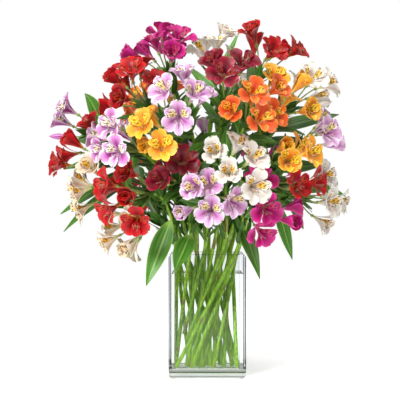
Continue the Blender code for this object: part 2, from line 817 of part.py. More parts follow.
def make_water(stems, parts, cutters):
    """The water, with a plain hole for each stem that stands in it."""
    water = rounded_box(
        VASE_SIDE / 2 - VASE_WALL - GAP, VASE_FLOOR + GAP, WATER_LEVEL, VASE_INNER_CORNER, "water", parts
    )
    holes = []
    for i, points in enumerate(stems):
        foot, mouth = points[0], points[1]
        under = foot + (foot - mouth).normalized() * HOLE_BELOW
        radii = [STEM_FOOT_RADIUS * HOLE_ROOM + GAP] * 2
        holes.append(tube([under, mouth], radii, f"hole_{i + 1:02d}", cutters))
    group = bpy.data.collections.new("holes")
    bpy.context.scene.collection.children.link(group)
    for hole in holes:
        cutters.objects.unlink(hole)
        group.objects.link(hole)
        hole.hide_render = True
        hole.display_type = "WIRE"
    cut = water.modifiers.new("Stem holes", "BOOLEAN")
    cut.operation = "DIFFERENCE"
    cut.operand_type = "COLLECTION"
    cut.collection = group
    return show(water, "water", "water")


def make_stem(i, points, leaves, parts):
    """A green stem from its cut foot to the umbel, with its leaves fused to it."""
    name = f"stem_{i + 1:02d}"
    last = len(points) - 1
    radii = [STEM_FOOT_RADIUS + (STEM_TOP_RADIUS - STEM_FOOT_RADIUS) * k / last for k in range(last + 1)]
    body = tube(points, radii, name, parts)
    blades = [leaf(shape, f"leaf_{k}", parts) for k, shape in enumerate(leaves)]
    return show(joined(body, blades), name, "green")


def make_umbel(i, colour, hub, outward, arriving, flowers, parts):
    """The umbel: a small hub on the stem's end, with a pedicel for each flower and bud."""
    name = f"umbel_{i + 1:02d}_{colour}"
    bm = bmesh.new()
    bmesh.ops.create_cone(
        bm, cap_ends=True, segments=6, radius1=STEM_TOP_RADIUS, radius2=HUB_RADIUS, depth=2 * HUB_HALF
    )
    turn = arriving.to_track_quat("Z", "Y").to_matrix().to_4x4()
    bmesh.ops.transform(bm, matrix=Matrix.Translation(hub) @ turn, verts=bm.verts)
    body = from_bmesh(bm, name, parts)
    blooms = []
    for k, pose in enumerate(flowers):
        grow = flower if pose[4] == FLOWER_BALL else bud
        blooms.append(grow(hub, outward, pose, f"flower_{k}", parts))
    return show(joined(body, blooms), name, colour)


def main():
    clear_scene()
    parts = bpy.data.collections.new("alstroemeria_vase")
    cutters = bpy.data.collections.new("cutters")
    for made in (parts, cutters):
        bpy.context.scene.collection.children.link(made)
    hubs, outwards, flowers, stems, leaves = lay_out()
    for i, row in enumerate(HEADS):
        make_stem(i, stems[i], leaves[i], parts)
        arriving = (stems[i][-1] - stems[i][-2]).normalized()
        make_umbel(i, row[0], hubs[i], outwards[i], arriving, flowers[i], parts)
    make_vase(parts, cutters)
    make_water(stems, parts, cutters)
    print(f"{sum(map(len, flowers))} flowers and {sum(map(len, leaves))} leaves on {len(HEADS)} stems")


main()
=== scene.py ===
# %% [markdown]
# # Alstroemeria in a square glass vase
# The real thing is a full, round bunch of mixed alstroemeria. Each stem carries one umbel: a
# few funnel flowers on thin pedicels that all leave the same point. The stems cross in the
# water of a thick-walled, square glass vase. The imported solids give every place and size.
# This script dresses them with fine petals, leaves, stems, glass and water.

# %% Load the solids
import math
import random

import bpy
import numpy as np
from mathutils import Matrix, Vector


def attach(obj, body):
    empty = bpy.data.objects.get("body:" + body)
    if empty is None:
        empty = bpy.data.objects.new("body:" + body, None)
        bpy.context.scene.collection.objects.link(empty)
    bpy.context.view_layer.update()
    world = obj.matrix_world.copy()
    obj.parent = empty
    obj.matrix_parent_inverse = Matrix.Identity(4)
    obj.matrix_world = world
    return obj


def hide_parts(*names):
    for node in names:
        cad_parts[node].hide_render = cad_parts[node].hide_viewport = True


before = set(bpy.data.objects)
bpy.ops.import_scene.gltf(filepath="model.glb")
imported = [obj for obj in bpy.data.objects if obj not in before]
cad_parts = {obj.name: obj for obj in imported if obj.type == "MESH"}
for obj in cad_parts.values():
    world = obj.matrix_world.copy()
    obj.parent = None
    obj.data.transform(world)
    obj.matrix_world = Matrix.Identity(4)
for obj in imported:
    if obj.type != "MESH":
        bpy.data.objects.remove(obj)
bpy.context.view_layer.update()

# %% [markdown]
# ## The plan of the bunch
# A florist builds such a bunch from the middle outwards, so that the heads make a dome. Every
# flower could be placed by hand, but a rule is easier to change: the umbels' middles are
# listed, then the flowers are pushed apart until none touch, and the leaves take the room that
# is left. It is the rule that the solids were made by, so each piece lands on its own solid.

# %% Sizes of the vase, the flowers, the stems and the leaves
# The vase: clear glass, square, with a heavy floor
VASE_SIDE = 0.127
VASE_HEIGHT = 0.203
VASE_WALL = 0.0045
VASE_FLOOR = 0.016
VASE_OUTER_CORNER = 0.006
VASE_INNER_CORNER = 0.003
WATER_LEVEL = 0.171
GAP = 0.0003

# The bunch: the umbels' middles lie on a dome, deeper to the front than to the back
DOME_MIDDLE = Vector((0.0, 0.0, 0.375))
DOME_HALF_WIDTH = 0.245
DOME_HALF_HEIGHT = 0.195
DOME_FRONT = 0.17
DOME_BACK = 0.135
FACING_FROM = Vector((0.0, 0.0, 0.30))

# One row for each stem: the colour, then x and z of the middle of its umbel, then how far
# that stands towards the front (-1) or the back (+1) of the dome, then its flowers and buds
HEADS = [
    ("magenta", -0.080, 0.545, -0.60, 7, 0),
    ("red", -0.122, 0.480, -0.85, 8, 0),
    ("white", 0.012, 0.548, -0.30, 4, 1),
    ("red", 0.106, 0.543, -0.45, 5, 0),
    ("crimson", 0.037, 0.497, -1.00, 4, 0),
    ("orange", 0.080, 0.446, -1.00, 6, 0),
    ("yellow", 0.134, 0.459, -0.90, 4, 0),
    ("white", 0.172, 0.483, -0.40, 4, 2),
    ("lilac", 0.192, 0.400, -0.60, 4, 0),
    ("lilac", -0.039, 0.456, -1.00, 5, 0),
    ("purple", -0.240, 0.426, 0.00, 2, 1),
    ("purple", -0.143, 0.392, -1.00, 5, 0),
    ("yellow", -0.087, 0.397, -1.00, 4, 0),
    ("red", -0.217, 0.378, -0.50, 4, 0),
    ("cream", -0.205, 0.322, -0.70, 4, 0),
    ("red", -0.130, 0.303, -1.00, 6, 0),
    ("crimson", -0.070, 0.331, -0.92, 3, 0),
    ("cream", -0.145, 0.243, -1.00, 6, 0),
    ("white", 0.051, 0.349, -1.05, 5, 0),
    ("lilac", 0.000, 0.297, -1.05, 5, 0),
    ("magenta", 0.107, 0.282, -1.00, 5, 0),
    ("red", 0.143, 0.327, -1.00, 2, 0),
    ("yellow", 0.138, 0.368, -1.00, 4, 0),
    ("white", 0.200, 0.298, -0.60, 5, 1),
    ("orange", -0.095, 0.470, 0.90, 7, 0),
    ("white", 0.055, 0.475, 0.90, 7, 0),
    ("red", -0.115, 0.335, 0.95, 7, 0),
    ("magenta", 0.120, 0.345, 0.95, 7, 0),
    ("lilac", 0.000, 0.385, 1.00, 6, 0),
]

# A flower: a funnel of six tepals that fits in a ball about its middle
FLOWER_MIDDLE = 0.018
FLOWER_BALL = 0.0272
PEDICEL_RADIUS = 0.0013
PEDICEL_START = 0.001
BUD_RADIUS = 0.0046
BUD_LENGTH = 0.026
BUD_BALL = 0.0145
UMBEL_SPREAD = 0.0205
UMBEL_REACH = 0.062
HUB_BEHIND = 0.058
UMBEL_CORE = 0.019
CORE_AHEAD = 0.024
SAME_UMBEL = 0.78
BETWEEN_UMBELS = 0.0012
LOWEST_FLOWER = 0.215
SPREAD_TURNS = 400
FLOWER_PUSH = 0.30
CORE_PUSH = 0.5
PULLED_TURNS = 250
PULL_HOME = 0.04
ROLL = 0.4
NOD = 0.25
TILT = 0.34
HUB_RADIUS = 0.0032
HUB_HALF = 0.003

# The stems: straight and twisted together in the vase, then bent out to their umbels
STEM_FOOT_RADIUS = 0.0031
STEM_TOP_RADIUS = 0.0021
STEM_SPACING = 0.0215
SPACING_TURNS = 400
SPACING_PUSH = 0.35
RIM_REACH = 0.0505
RIM_ABOVE = 0.003
TWIST = math.radians(-90)
ARRIVE_SHARE = 0.9
BEND_POINTS = 5
# The stems that were cut short, and the share of the way up the vase where their feet are
SHORT_STEMS = {19: 0.24, 20: 0.28}

# The leaves, each a thin keeled blade
LEAF_LENGTHS = (0.105, 0.086, 0.068, 0.052)
LEAF_HALF_WIDTH = 0.0140
LEAF_WIDEST_EARLY = 0.8
LEAF_FULLNESS = 0.9
LEAF_SLIMMING = 0.5
LEAF_TRIES = 10
LEAF_LIFTS = (0.5, 0.85, 1.2)
LIFT_AT_ROOT = 0.7
LEAF_NEAR_HALF = 0.5
LEAF_FAR_HALF = 0.55
LEAF_DROOP = 0.25
LEAF_CLEAR = 0.0012
LEAF_EXTRA = 0.0008
LEAF_SHARES = (0.965, 0.93, 0.88, 0.80, 0.71, 0.61, 0.50)
LEAF_NEAR = 0.16
LEAF_SAMPLES = [k / 9 for k in range(1, 10)]
LEAF_LOWEST = 0.012
OWN_ROOT = 0.020
ROUTE_STEP = 0.006
LEAVES_A_STEM = 7
LEAVES_IN_ALL = 108
GLASS_CLEAR = 0.002
WATER_CLEAR = 0.003
FLOOR_CLEAR = 0.004
PLACED_SHARES = [k / 20 for k in range(1, 20)]
PLACED_DEPTHS = (0.0, -0.02, 0.02, -0.045, 0.045, -0.07, 0.07)
PLACED_ARCHES = (0.12, 0.25, 0.02)
PLACED_MISS = 0.06
PLACED_LONGEST = 0.165
PLACED_BROADEST = 1.15
PLACED_FACE = Vector((0.0, -0.8, 0.6))
DEPTH_COST = 0.3
BACK_COST = 0.4
ARCH_COST = 0.02

# The gaps that the leaves close are counted in square cells, seen from the front and the side
CELL = 0.006
GAP_ORIGIN = -0.30
GAP_CELLS = 100
GAP_EDGE = 0.012
GAP_LOWEST = 0.235
FLOWER_COVERS = 0.015
VIEWS = ((0, 1.0), (1, 0.6))
BLADE_ACROSS = (-0.8, -0.4, 0.0, 0.4, 0.8)

# The leaves that show most: x and z near the root, x and z of the tip, and how broad each is
PLACED_LEAVES = [
    (-0.070, 0.255, -0.098, 0.155, 1.1),
    (0.060, 0.240, 0.084, 0.165, 0.9),
    (0.120, 0.270, 0.142, 0.192, 0.8),
    (-0.160, 0.270, -0.245, 0.238, 0.7),
    (-0.170, 0.300, -0.252, 0.268, 0.8),
    (-0.150, 0.400, -0.206, 0.472, 1.0),
    (-0.120, 0.360, -0.195, 0.400, 1.0),
    (-0.170, 0.330, -0.246, 0.345, 0.9),
    (0.045, 0.480, 0.056, 0.584, 0.4),
    (0.085, 0.480, 0.078, 0.560, 0.5),
    (0.160, 0.410, 0.228, 0.440, 0.9),
    (0.160, 0.330, 0.240, 0.298, 0.9),
    (0.130, 0.320, 0.200, 0.352, 1.0),
    (-0.030, 0.330, -0.008, 0.405, 1.3),
    (0.020, 0.340, 0.030, 0.410, 1.1),
    (-0.040, 0.235, -0.052, 0.180, 1.2),
]

# The turn between two seeds of a sunflower, straight up, and the sine below which two
# directions count as one
GOLDEN = math.radians(137.5)
UP = Vector((0.0, 0.0, 1.0))
NEARLY_ALONG = 0.2

# %% [markdown]
# ## The umbels
# The middles of the umbels lie on a dome, which faces the front. The flowers of an umbel
# spread over its cap as seeds do in a sunflower, then move apart until they are clear.

# %% The places of the flowers
def head_middle(row):
    """The middle of an umbel, on the dome."""
    _, x, z, share, _, _ = row
    across = (x / DOME_HALF_WIDTH) ** 2
    upright = ((z - DOME_MIDDLE.z) / DOME_HALF_HEIGHT) ** 2
    depth = DOME_BACK if share > 0 else DOME_FRONT
    return Vector((x, share * depth * math.sqrt(max(0.0, 1 - across - upright)), z))


def side_axes(axis, face=UP):
    """Two directions square to the axis: one sideways, and one as near to face as it can be."""
    right = axis.cross(face)
    if right.length < NEARLY_ALONG:
        right = axis.cross(Vector((0.0, 1.0, 0.0)))
    right.normalize()
    return right, right.cross(axis).normalized()


def start_flowers(middle, outward, count, turn):
    """The flowers' middles on the cap of an umbel, spread as seeds are in a sunflower."""
    hub = middle - outward * HUB_BEHIND
    right, up = side_axes(outward)
    places = []
    for k in range(count):
        out = UMBEL_SPREAD * math.sqrt(k + 0.5)
        angle = turn + k * GOLDEN
        offset = right * (out * math.cos(angle)) + up * (out * math.sin(angle))
        places.append(hub + (outward * UMBEL_REACH + offset).normalized() * UMBEL_REACH)
    return hub, places


def spread_apart(places, sizes, owners, hubs, outwards):
    """Moves the flowers a little, until those of two umbels are clear of each other."""
    at = np.array(places)
    home = at.copy()
    ball = np.array(sizes)
    owner = np.array(owners)
    pair = ball[:, None] + ball[None, :]
    least = np.where(owner[:, None] == owner[None, :], SAME_UMBEL * pair, pair + BETWEEN_UMBELS)
    core = np.array([hub + out * CORE_AHEAD for hub, out in zip(hubs, outwards)])
    core_least = (ball + UMBEL_CORE)[:, None]
    not_own = owner[:, None] != np.arange(len(hubs))[None, :]
    for turn in range(SPREAD_TURNS):
        away = at[:, None, :] - at[None, :, :]
        far = np.linalg.norm(away, axis=2) + np.eye(len(at))
        push = np.clip(least - far, 0, None) * (1 - np.eye(len(at)))
        step = (away / far[:, :, None] * push[:, :, None]).sum(axis=1) * FLOWER_PUSH
        from_core = at[:, None, :] - core[None, :, :]
        core_far = np.linalg.norm(from_core, axis=2)
        core_push = np.clip(core_least - core_far, 0, None) * not_own
        step += (from_core / core_far[:, :, None] * core_push[:, :, None]).sum(axis=1) * CORE_PUSH
        pull = PULL_HOME if turn < PULLED_TURNS else 0.0
        at = at + step + (home - at) * pull
        at[:, 2] = np.maximum(at[:, 2], LOWEST_FLOWER)
    return [Vector(p) for p in at]


# %% [markdown]
# ## The stems
# A spiralled hand-tied bunch crosses in the vase: each stem's foot is a quarter turn round
# from where it leaves the mouth. Because all turn alike, straight stems pass without touching.

# %% The paths of the stems

def rim_places(hubs):
    """Where each stem crosses the square mouth, with the low umbels' stems at its edge."""
    points = []
    for hub in hubs:
        flat = Vector((hub.x, hub.y)).normalized()
        lean = math.atan2(math.hypot(hub.x, hub.y), hub.z - VASE_HEIGHT) / (math.pi / 2)
        points.append(flat * min(1.0, lean) * RIM_REACH / max(abs(flat.x), abs(flat.y)))
    at = np.array(points)
    for _ in range(SPACING_TURNS):
        away = at[:, None, :] - at[None, :, :]
        far = np.linalg.norm(away, axis=2) + np.eye(len(at))
        push = np.clip(STEM_SPACING - far, 0, None) * (1 - np.eye(len(at)))
        at = at + (away / far[:, :, None] * push[:, :, None]).sum(axis=1) * SPACING_PUSH
        at = np.clip(at, -RIM_REACH, RIM_REACH)
    return [Vector(p) for p in at]


def stem_points(rim, hub, outward, cut, count=BEND_POINTS):
    """A straight run from the foot to the mouth, then a smooth bend that ends under the umbel."""
    turned = Matrix.Rotation(TWIST, 2) @ rim
    lean = (rim - turned).length / (VASE_HEIGHT - VASE_FLOOR)
    foot = Vector((turned.x, turned.y, VASE_FLOOR + GAP + STEM_FOOT_RADIUS * lean))
    mouth = Vector((rim.x, rim.y, VASE_HEIGHT + RIM_ABOVE))
    end = hub - outward * (HUB_HALF + GAP)
    reach = (end - mouth).length
    leave = (mouth - foot).normalized() * reach
    arrive = outward * reach * ARRIVE_SHARE
    bend = []
    for k in range(1, count + 1):
        t = k / count
        bend.append(
            mouth * (2 * t**3 - 3 * t**2 + 1)
            + leave * (t**3 - 2 * t**2 + t)
            + end * (3 * t**2 - 2 * t**3)
            + arrive * (t**3 - t**2)
        )
    arriving = (bend[-1] - bend[-2]).normalized()
    bend[-1] = hub - arriving * (HUB_HALF + GAP)
    return [foot.lerp(mouth, cut), mouth] + bend


def along(points, share):
    """The place and direction at a share of the length of a run of points."""
    lengths = [(b - a).length for a, b in zip(points, points[1:])]
    left = share * sum(lengths)
    for a, b, length in zip(points, points[1:], lengths):
        if left <= length:
            return a.lerp(b, left / length), (b - a).normalized()
        left -= length
    return points[-1].copy(), (points[-1] - points[-2]).normalized()


# %% [markdown]
# ## The leaves
# Leaves grow into the light, so each new one takes the way that closes the largest gap in
# the dome and is clear of all that is there. The ones that show most are listed one by one.

# %% The places of the leaves

def curve_point(start, middle, end, t):
    return start * (1 - t) ** 2 + middle * (2 * t * (1 - t)) + end * t**2


def half_width(t):
    """The share of a leaf's half width at a share of its length, widest before its middle."""
    return math.sin(math.pi * min(1.0, t) ** LEAF_WIDEST_EARLY) ** LEAF_FULLNESS


LEAF_HALVES = [half_width(t) for t in LEAF_SAMPLES]


def filled(points, step):
    """The run of points with more between them, no further apart than step."""
    out = [points[0]]
    for a, b in zip(points, points[1:]):
        parts = max(1, math.ceil((b - a).length / step))
        out += [a.lerp(b, k / parts) for k in range(1, parts + 1)]
    return out


def flower_pose(hub, middle, ball, roll, tilt):
    """The middle and base of a flower or bud, the way it faces, its upright, and its ball."""
    axis = (middle - hub).normalized()
    level = Vector((axis.x, axis.y, 0.0))
    axis = (axis + level * NOD + tilt * TILT).normalized()
    right, up = side_axes(axis)
    up = Matrix.Rotation(roll, 3, axis) @ up
    back = FLOWER_MIDDLE if ball == FLOWER_BALL else BUD_LENGTH / 2
    return middle, middle - axis * back, axis, up, ball


def pedicel_ends(hub, outward, base):
    """A pedicel runs from just above the hub's middle to the base of its flower."""
    return [hub + outward * PEDICEL_START, base]


def in_glass(points, wide):
    """True if a leaf would cut the vase or reach into the water."""
    half = VASE_SIDE / 2
    for p, w in zip(points, wide):
        beside = max(abs(p.x), abs(p.y))
        near_wall = half - VASE_WALL - w - GLASS_CLEAR < beside < half + w + GLASS_CLEAR
        if p.z - w < VASE_HEIGHT + WATER_CLEAR and near_wall:
            return True
        if p.z - w < WATER_LEVEL + WATER_CLEAR and beside < half:
            return True
        if p.z - w < FLOOR_CLEAR:
            return True
    return False


def leaf_choices(root, along_stem, first_turn):
    """Every way that a leaf may leave the stem: round it, lifted from it, and long or short."""
    right, up = side_axes(along_stem)
    for length in LEAF_LENGTHS:
        width = LEAF_HALF_WIDTH * (length / LEAF_LENGTHS[0]) ** LEAF_SLIMMING
        for lift in LEAF_LIFTS:
            for k in range(LEAF_TRIES):
                angle = first_turn + 2 * math.pi * k / LEAF_TRIES
                out = right * math.cos(angle) + up * math.sin(angle)
                low = lift * LIFT_AT_ROOT
                start = along_stem * math.cos(low) + out * math.sin(low)
                drift = along_stem * math.cos(lift) + out * math.sin(lift)
                drift = (drift - UP * LEAF_DROOP * math.sin(lift)).normalized()
                middle = root + start * length * LEAF_NEAR_HALF
                tip = middle + drift * length * LEAF_FAR_HALF
                outside = (middle - FACING_FROM).normalized()
                for face in (UP, outside):
                    yield root, middle, tip, width, face


def placed_choices(row, stems):
    """Every way from a stem to a tip that is seen where the row puts it, nearest first."""
    x, z, tip_x, tip_z, breadth = row
    found = []
    for i, points in enumerate(stems):
        for share in PLACED_SHARES:
            root, _ = along(points[1:], share)
            miss = math.hypot(root.x - x, root.z - z)
            if miss > PLACED_MISS:
                continue
            for depth in PLACED_DEPTHS:
                tip = Vector((tip_x, root.y + depth, tip_z))
                length = (tip - root).length
                if length > PLACED_LONGEST:
                    continue
                for arch in PLACED_ARCHES:
                    middle = root.lerp(tip, 0.5) + UP * length * arch
                    slimmed = min(PLACED_BROADEST, (length / LEAF_LENGTHS[0]) ** LEAF_SLIMMING)
                    width = LEAF_HALF_WIDTH * breadth * slimmed
                    cost = miss + abs(depth) * DEPTH_COST + root.y * BACK_COST + arch * ARCH_COST
                    found.append((cost, i, (root, middle, tip, width, PLACED_FACE)))
    return sorted(found, key=lambda choice: choice[0])


def leaf_balls(shape):
    """Balls along a leaf that fill its width, as their middles and radii."""
    start, middle, tip, width, _ = shape
    points = [curve_point(start, middle, tip, t) for t in LEAF_SAMPLES]
    return points, [width * half + LEAF_EXTRA for half in LEAF_HALVES]


class Gaps:
    """The cells of the dome that nothing covers yet, seen from the front and from the side."""

    def __init__(self):
        self.open = []
        middles = (np.arange(GAP_CELLS) + 0.5) * CELL
        for side, _ in VIEWS:
            reach = DOME_HALF_WIDTH if side == 0 else DOME_FRONT
            across = ((middles + GAP_ORIGIN) / (reach + GAP_EDGE)) ** 2
            upright = ((middles - DOME_MIDDLE.z) / (DOME_HALF_HEIGHT + GAP_EDGE)) ** 2
            inside = across[:, None] + upright[None, :] < 1
            self.open.append(inside & (middles > GAP_LOWEST)[None, :])

    def cells(self, points, side):
        """The numbers of the cells where the points are seen."""
        column = ((points[:, side] - GAP_ORIGIN) / CELL).astype(int).clip(0, GAP_CELLS - 1)
        row = (points[:, 2] / CELL).astype(int).clip(0, GAP_CELLS - 1)
        return column * GAP_CELLS + row

    def close(self, points):
        for (side, _), seen in zip(VIEWS, self.open):
            seen.reshape(-1)[self.cells(points, side)] = False

    def closed_by(self, points):
        """How many open cells the points would close, with the front's counted in full."""
        total = 0.0
        for (side, weight), seen in zip(VIEWS, self.open):
            cells = np.unique(self.cells(points, side))
            total += weight * seen.reshape(-1)[cells].sum()
        return total


def disc_points(middle, radius):
    """Points all through a ball, to cover its round shadow from any side."""
    steps = np.arange(-radius, radius + CELL / 2, CELL / 2)
    grid = np.stack(np.meshgrid(steps, steps, steps), axis=-1).reshape(-1, 3)
    return grid[np.linalg.norm(grid, axis=1) <= radius] + np.array(middle)


def blade_points(shape):
    """Points all over a leaf's blade."""
    start, middle, tip, width, face = shape
    side, _ = side_axes((tip - start).normalized(), face)
    t = np.array(LEAF_SAMPLES)[:, None]
    spine = np.array(start) * (1 - t) ** 2 + np.array(middle) * 2 * t * (1 - t) + np.array(tip) * t**2
    across = np.outer(LEAF_HALVES, BLADE_ACROSS)[:, :, None] * np.array(side) * width
    return (spine[:, None, :] + across).reshape(-1, 3)


class Taken:
    """The room that is already taken, as balls, each with the stem that it belongs to."""

    def __init__(self):
        self.centres = []
        self.radii = []
        self.owners = []

    def block(self, points, radii, owner):
        for point, radius in zip(points, radii):
            self.centres.append(tuple(point))
            self.radii.append(radius)
            self.owners.append(owner)

    def near(self, root, stem):
        """The balls within a leaf's reach of its root, without the stem's own at the root."""
        at = np.array(self.centres)
        radii = np.array(self.radii)
        far = np.linalg.norm(at - np.array(root), axis=1)
        own = (np.array(self.owners) == stem) & (far < OWN_ROOT)
        keep = (far < LEAF_NEAR) & ~own
        return at[keep], radii[keep]


def first_clear(shapes, near):
    """The first of the shapes that is clear of the vase and of all that is near."""
    centres, radii = near
    for shape in shapes:
        points, wide = leaf_balls(shape)
        if in_glass(points, wide):
            continue
        far = np.linalg.norm(np.array(points)[:, None, :] - centres[None, :, :], axis=2)
        if (far - radii[None, :] - np.array(wide)[:, None]).min() >= LEAF_CLEAR:
            return shape
    return None


def place_leaves(stems, flowers, hubs, outwards):
    """Gives the stems their leaves: first the ones that show most, then those that close gaps."""
    taken = Taken()
    gaps = Gaps()
    for i, points in enumerate(stems):
        run = filled(points[1:], ROUTE_STEP)
        taken.block(run, [STEM_FOOT_RADIUS + LEAF_EXTRA] * len(run), i)
    for i, blooms in enumerate(flowers):
        taken.block([hubs[i]], [HUB_RADIUS + LEAF_EXTRA], -1)
        for middle, base, _, _, ball in blooms:
            run = filled(pedicel_ends(hubs[i], outwards[i], base), ROUTE_STEP)
            taken.block([middle], [ball], -1)
            taken.block(run, [PEDICEL_RADIUS + LEAF_EXTRA] * len(run), -1)
            gaps.close(disc_points(middle, FLOWER_COVERS if ball == FLOWER_BALL else BUD_RADIUS))
    leaves = [[] for _ in stems]

    def keep(i, shape):
        leaves[i].append(shape)
        taken.block(*leaf_balls(shape), i)
        gaps.close(blade_points(shape))

    for row in PLACED_LEAVES:
        for _, i, shape in placed_choices(row, stems):
            if first_clear([shape], taken.near(shape[0], i)):
                keep(i, shape)
                break
    rng = random.Random(7)
    for share in LEAF_SHARES:
        for i, points in enumerate(stems):
            root, direction = along(points[1:], share)
            first_turn = rng.uniform(0, 2 * math.pi)
            full = len(leaves[i]) >= LEAVES_A_STEM or sum(map(len, leaves)) >= LEAVES_IN_ALL
            if root.z < VASE_HEIGHT + LEAF_LOWEST or full:
                continue
            shapes = list(leaf_choices(root, direction, first_turn))
            worth = [gaps.closed_by(blade_points(shape)) for shape in shapes]
            order = sorted(range(len(shapes)), key=lambda k: -worth[k])
            found = first_clear([shapes[k] for k in order if worth[k] > 0], taken.near(root, i))
            if found:
                keep(i, found)
    return leaves


def lay_out():
    """The whole bunch: the hubs, their outward axes, the flowers, the stems and the leaves."""
    middles = [head_middle(row) for row in HEADS]
    outwards = [(m - FACING_FROM).normalized() for m in middles]
    rng = random.Random(3)
    hubs, places, sizes, owners = [], [], [], []
    for i, (row, middle, outward) in enumerate(zip(HEADS, middles, outwards)):
        hub, found = start_flowers(middle, outward, row[4] + row[5], rng.uniform(0, 2 * math.pi))
        hubs.append(hub)
        places += found
        sizes += [FLOWER_BALL] * row[4] + [BUD_BALL] * row[5]
        owners += [i] * len(found)
    places = spread_apart(places, sizes, owners, hubs, outwards)
    flowers = [[] for _ in HEADS]
    for i, middle, ball in zip(owners, places, sizes):
        roll = rng.uniform(-ROLL, ROLL)
        tilt = Vector([rng.uniform(-1, 1) for _ in range(3)])
        flowers[i].append(flower_pose(hubs[i], middle, ball, roll, tilt))
    stems = []
    for i, rim in enumerate(rim_places(hubs)):
        stems.append(stem_points(rim, hubs[i], outwards[i], SHORT_STEMS.get(i + 1, 0.0)))
    return hubs, outwards, flowers, stems, place_leaves(stems, flowers, hubs, outwards)


hubs, outwards, flowers, stems, leaves = lay_out()
print(sum(map(len, flowers)), "flowers and buds,", sum(map(len, leaves)), "leaves,", len(stems), "stems")

# %% [markdown]
# ## Helpers at the bench
# A few moves come back in every step: turning a colour, which is sRGB, into the
# linear numbers that the renderer wants, adding one node with its settings and links, and
# letting go of all that is selected before a new primitive is added.

# %% Helpers
def colour(hex_code):
    """An sRGB colour such as #C8156F as linear red, green, blue and alpha."""
    parts = [int(hex_code[k : k + 2], 16) / 255 for k in (1, 3, 5)]
    return (*[p / 12.92 if p <= 0.04045 else ((p + 0.055) / 1.055) ** 2.4 for p in parts], 1.0)


def add(tree, kind, inputs, out=0, **settings):
    """Adds a node, sets it, fills its inputs with values or links, and gives one output."""
    made = tree.nodes.new(kind)
    for key, value in settings.items():
        setattr(made, key, value)
    for key, value in inputs.items():
        if isinstance(value, bpy.types.NodeSocket):
            tree.links.new(value, made.inputs[key])
        else:
            made.inputs[key].default_value = value
    return made.outputs[out]


def new_material(name, roughness, specular=0.5, **shader_values):
    made = bpy.data.materials.new(name)
    made.use_nodes = True
    shader = made.node_tree.nodes["Principled BSDF"]
    shader.inputs["Roughness"].default_value = roughness
    shader.inputs["Specular IOR Level"].default_value = specular
    for key, value in shader_values.items():
        shader.inputs[key.replace("_", " ")].default_value = value
    return made, made.node_tree, shader


def let_go():
    bpy.ops.object.select_all(action="DESELECT")


def take(obj):
    let_go()
    obj.select_set(True)
    bpy.context.view_layer.objects.active = obj


def corners(obj):
    """The vertices of an object's mesh as an array."""
    co = np.empty(len(obj.data.vertices) * 3)
    obj.data.vertices.foreach_get("co", co)
    return co.reshape(-1, 3)


def set_corners(obj, co):
    obj.data.vertices.foreach_set("co", np.asarray(co, float).ravel())
    obj.data.update()


def smooth(obj, degrees=180):
    take(obj)
    bpy.ops.object.shade_smooth_by_angle(angle=math.radians(degrees))


def copy_of(blank, name, matrix, tone=0.5):
    """A copy with its own mesh, moved to its place in the mesh itself."""
    mesh = blank.data.copy()
    mesh.transform(matrix)
    if "tone" not in mesh.attributes:
        mesh.attributes.new("tone", "FLOAT", "POINT")
    mesh.attributes["tone"].data.foreach_set("value", [tone] * len(mesh.vertices))
    made = bpy.data.objects.new(name, mesh)
    bpy.context.scene.collection.objects.link(made)
    return made


def join(pieces, name):
    let_go()
    for piece in pieces:
        piece.select_set(True)
    bpy.context.view_layer.objects.active = pieces[0]
    if len(pieces) > 1:
        bpy.ops.object.join()
    pieces[0].name = name
    return pieces[0]


def put_away(obj):
    """Removes a blank once its copies are made."""
    bpy.data.objects.remove(obj, do_unlink=True)


# %% [markdown]
# ## The colours of a petal
# A tepal is a petal and a sepal at once. Its flesh is thin and satin, with fine veins from
# claw to tip. The outer three are plain, with a darker middle and a small green tip. The two
# upper inner ones carry a yellow blotch and dark dashes, which lead a bee into the throat.
# An image could hold all that, but a pattern on the tepal's own UV map, across and along it,
# stays sharp and needs no file. The veins are about 1.2 mm apart and the dashes 4 mm long.

# %% The petal paint
def blend(tree, share, low, high):
    """A mix of two colours, by a share from 0 to 1."""
    return add(tree, "ShaderNodeMix", {0: share, 6: low, 7: high}, out=2, data_type="RGBA")


def step(tree, value, start, end):
    """Goes softly from 0 to 1 between start and end, or back if they are the other way round."""
    low, high = sorted((start, end))
    to = (0.0, 1.0) if start < end else (1.0, 0.0)
    return add(
        tree, "ShaderNodeMapRange", {0: value, 1: low, 2: high, 3: to[0], 4: to[1]},
        interpolation_type="SMOOTHSTEP",
    )


def times(tree, a, b):
    return add(tree, "ShaderNodeMath", {0: a, 1: b}, operation="MULTIPLY")


def across_and_along(tree):
    """How far across a blade from its middle (0 to 1), how far along it, and its raw UV."""
    uv = add(tree, "ShaderNodeUVMap", {}, uv_map="UVMap")
    split = tree.nodes.new("ShaderNodeSeparateXYZ")
    tree.links.new(uv, split.inputs[0])
    centred = add(tree, "ShaderNodeMath", {0: split.outputs[0], 1: 0.5}, operation="SUBTRACT")
    half = add(tree, "ShaderNodeMath", {0: centred}, operation="ABSOLUTE")
    return times(tree, half, 2.0), split.outputs[1], uv


def stretched(tree, uv, across_scale, along_scale):
    return add(tree, "ShaderNodeVectorMath", {0: uv, 1: (across_scale, along_scale, 1.0)}, operation="MULTIPLY")


def vary(tree, shade, amount=0.16):
    """Makes each flower or leaf a little lighter or darker than the next, by its tone; the darker tones of the deep
    leaves are painted shade.
    """
    tone = add(tree, "ShaderNodeAttribute", {}, out=2, attribute_name="tone")
    value = add(tree, "ShaderNodeMapRange", {0: tone, 1: 0.0, 2: 1.0, 3: 1.0 - amount, 4: 1.0 + amount})
    return add(tree, "ShaderNodeHueSaturation", {"Value": value, "Color": shade})


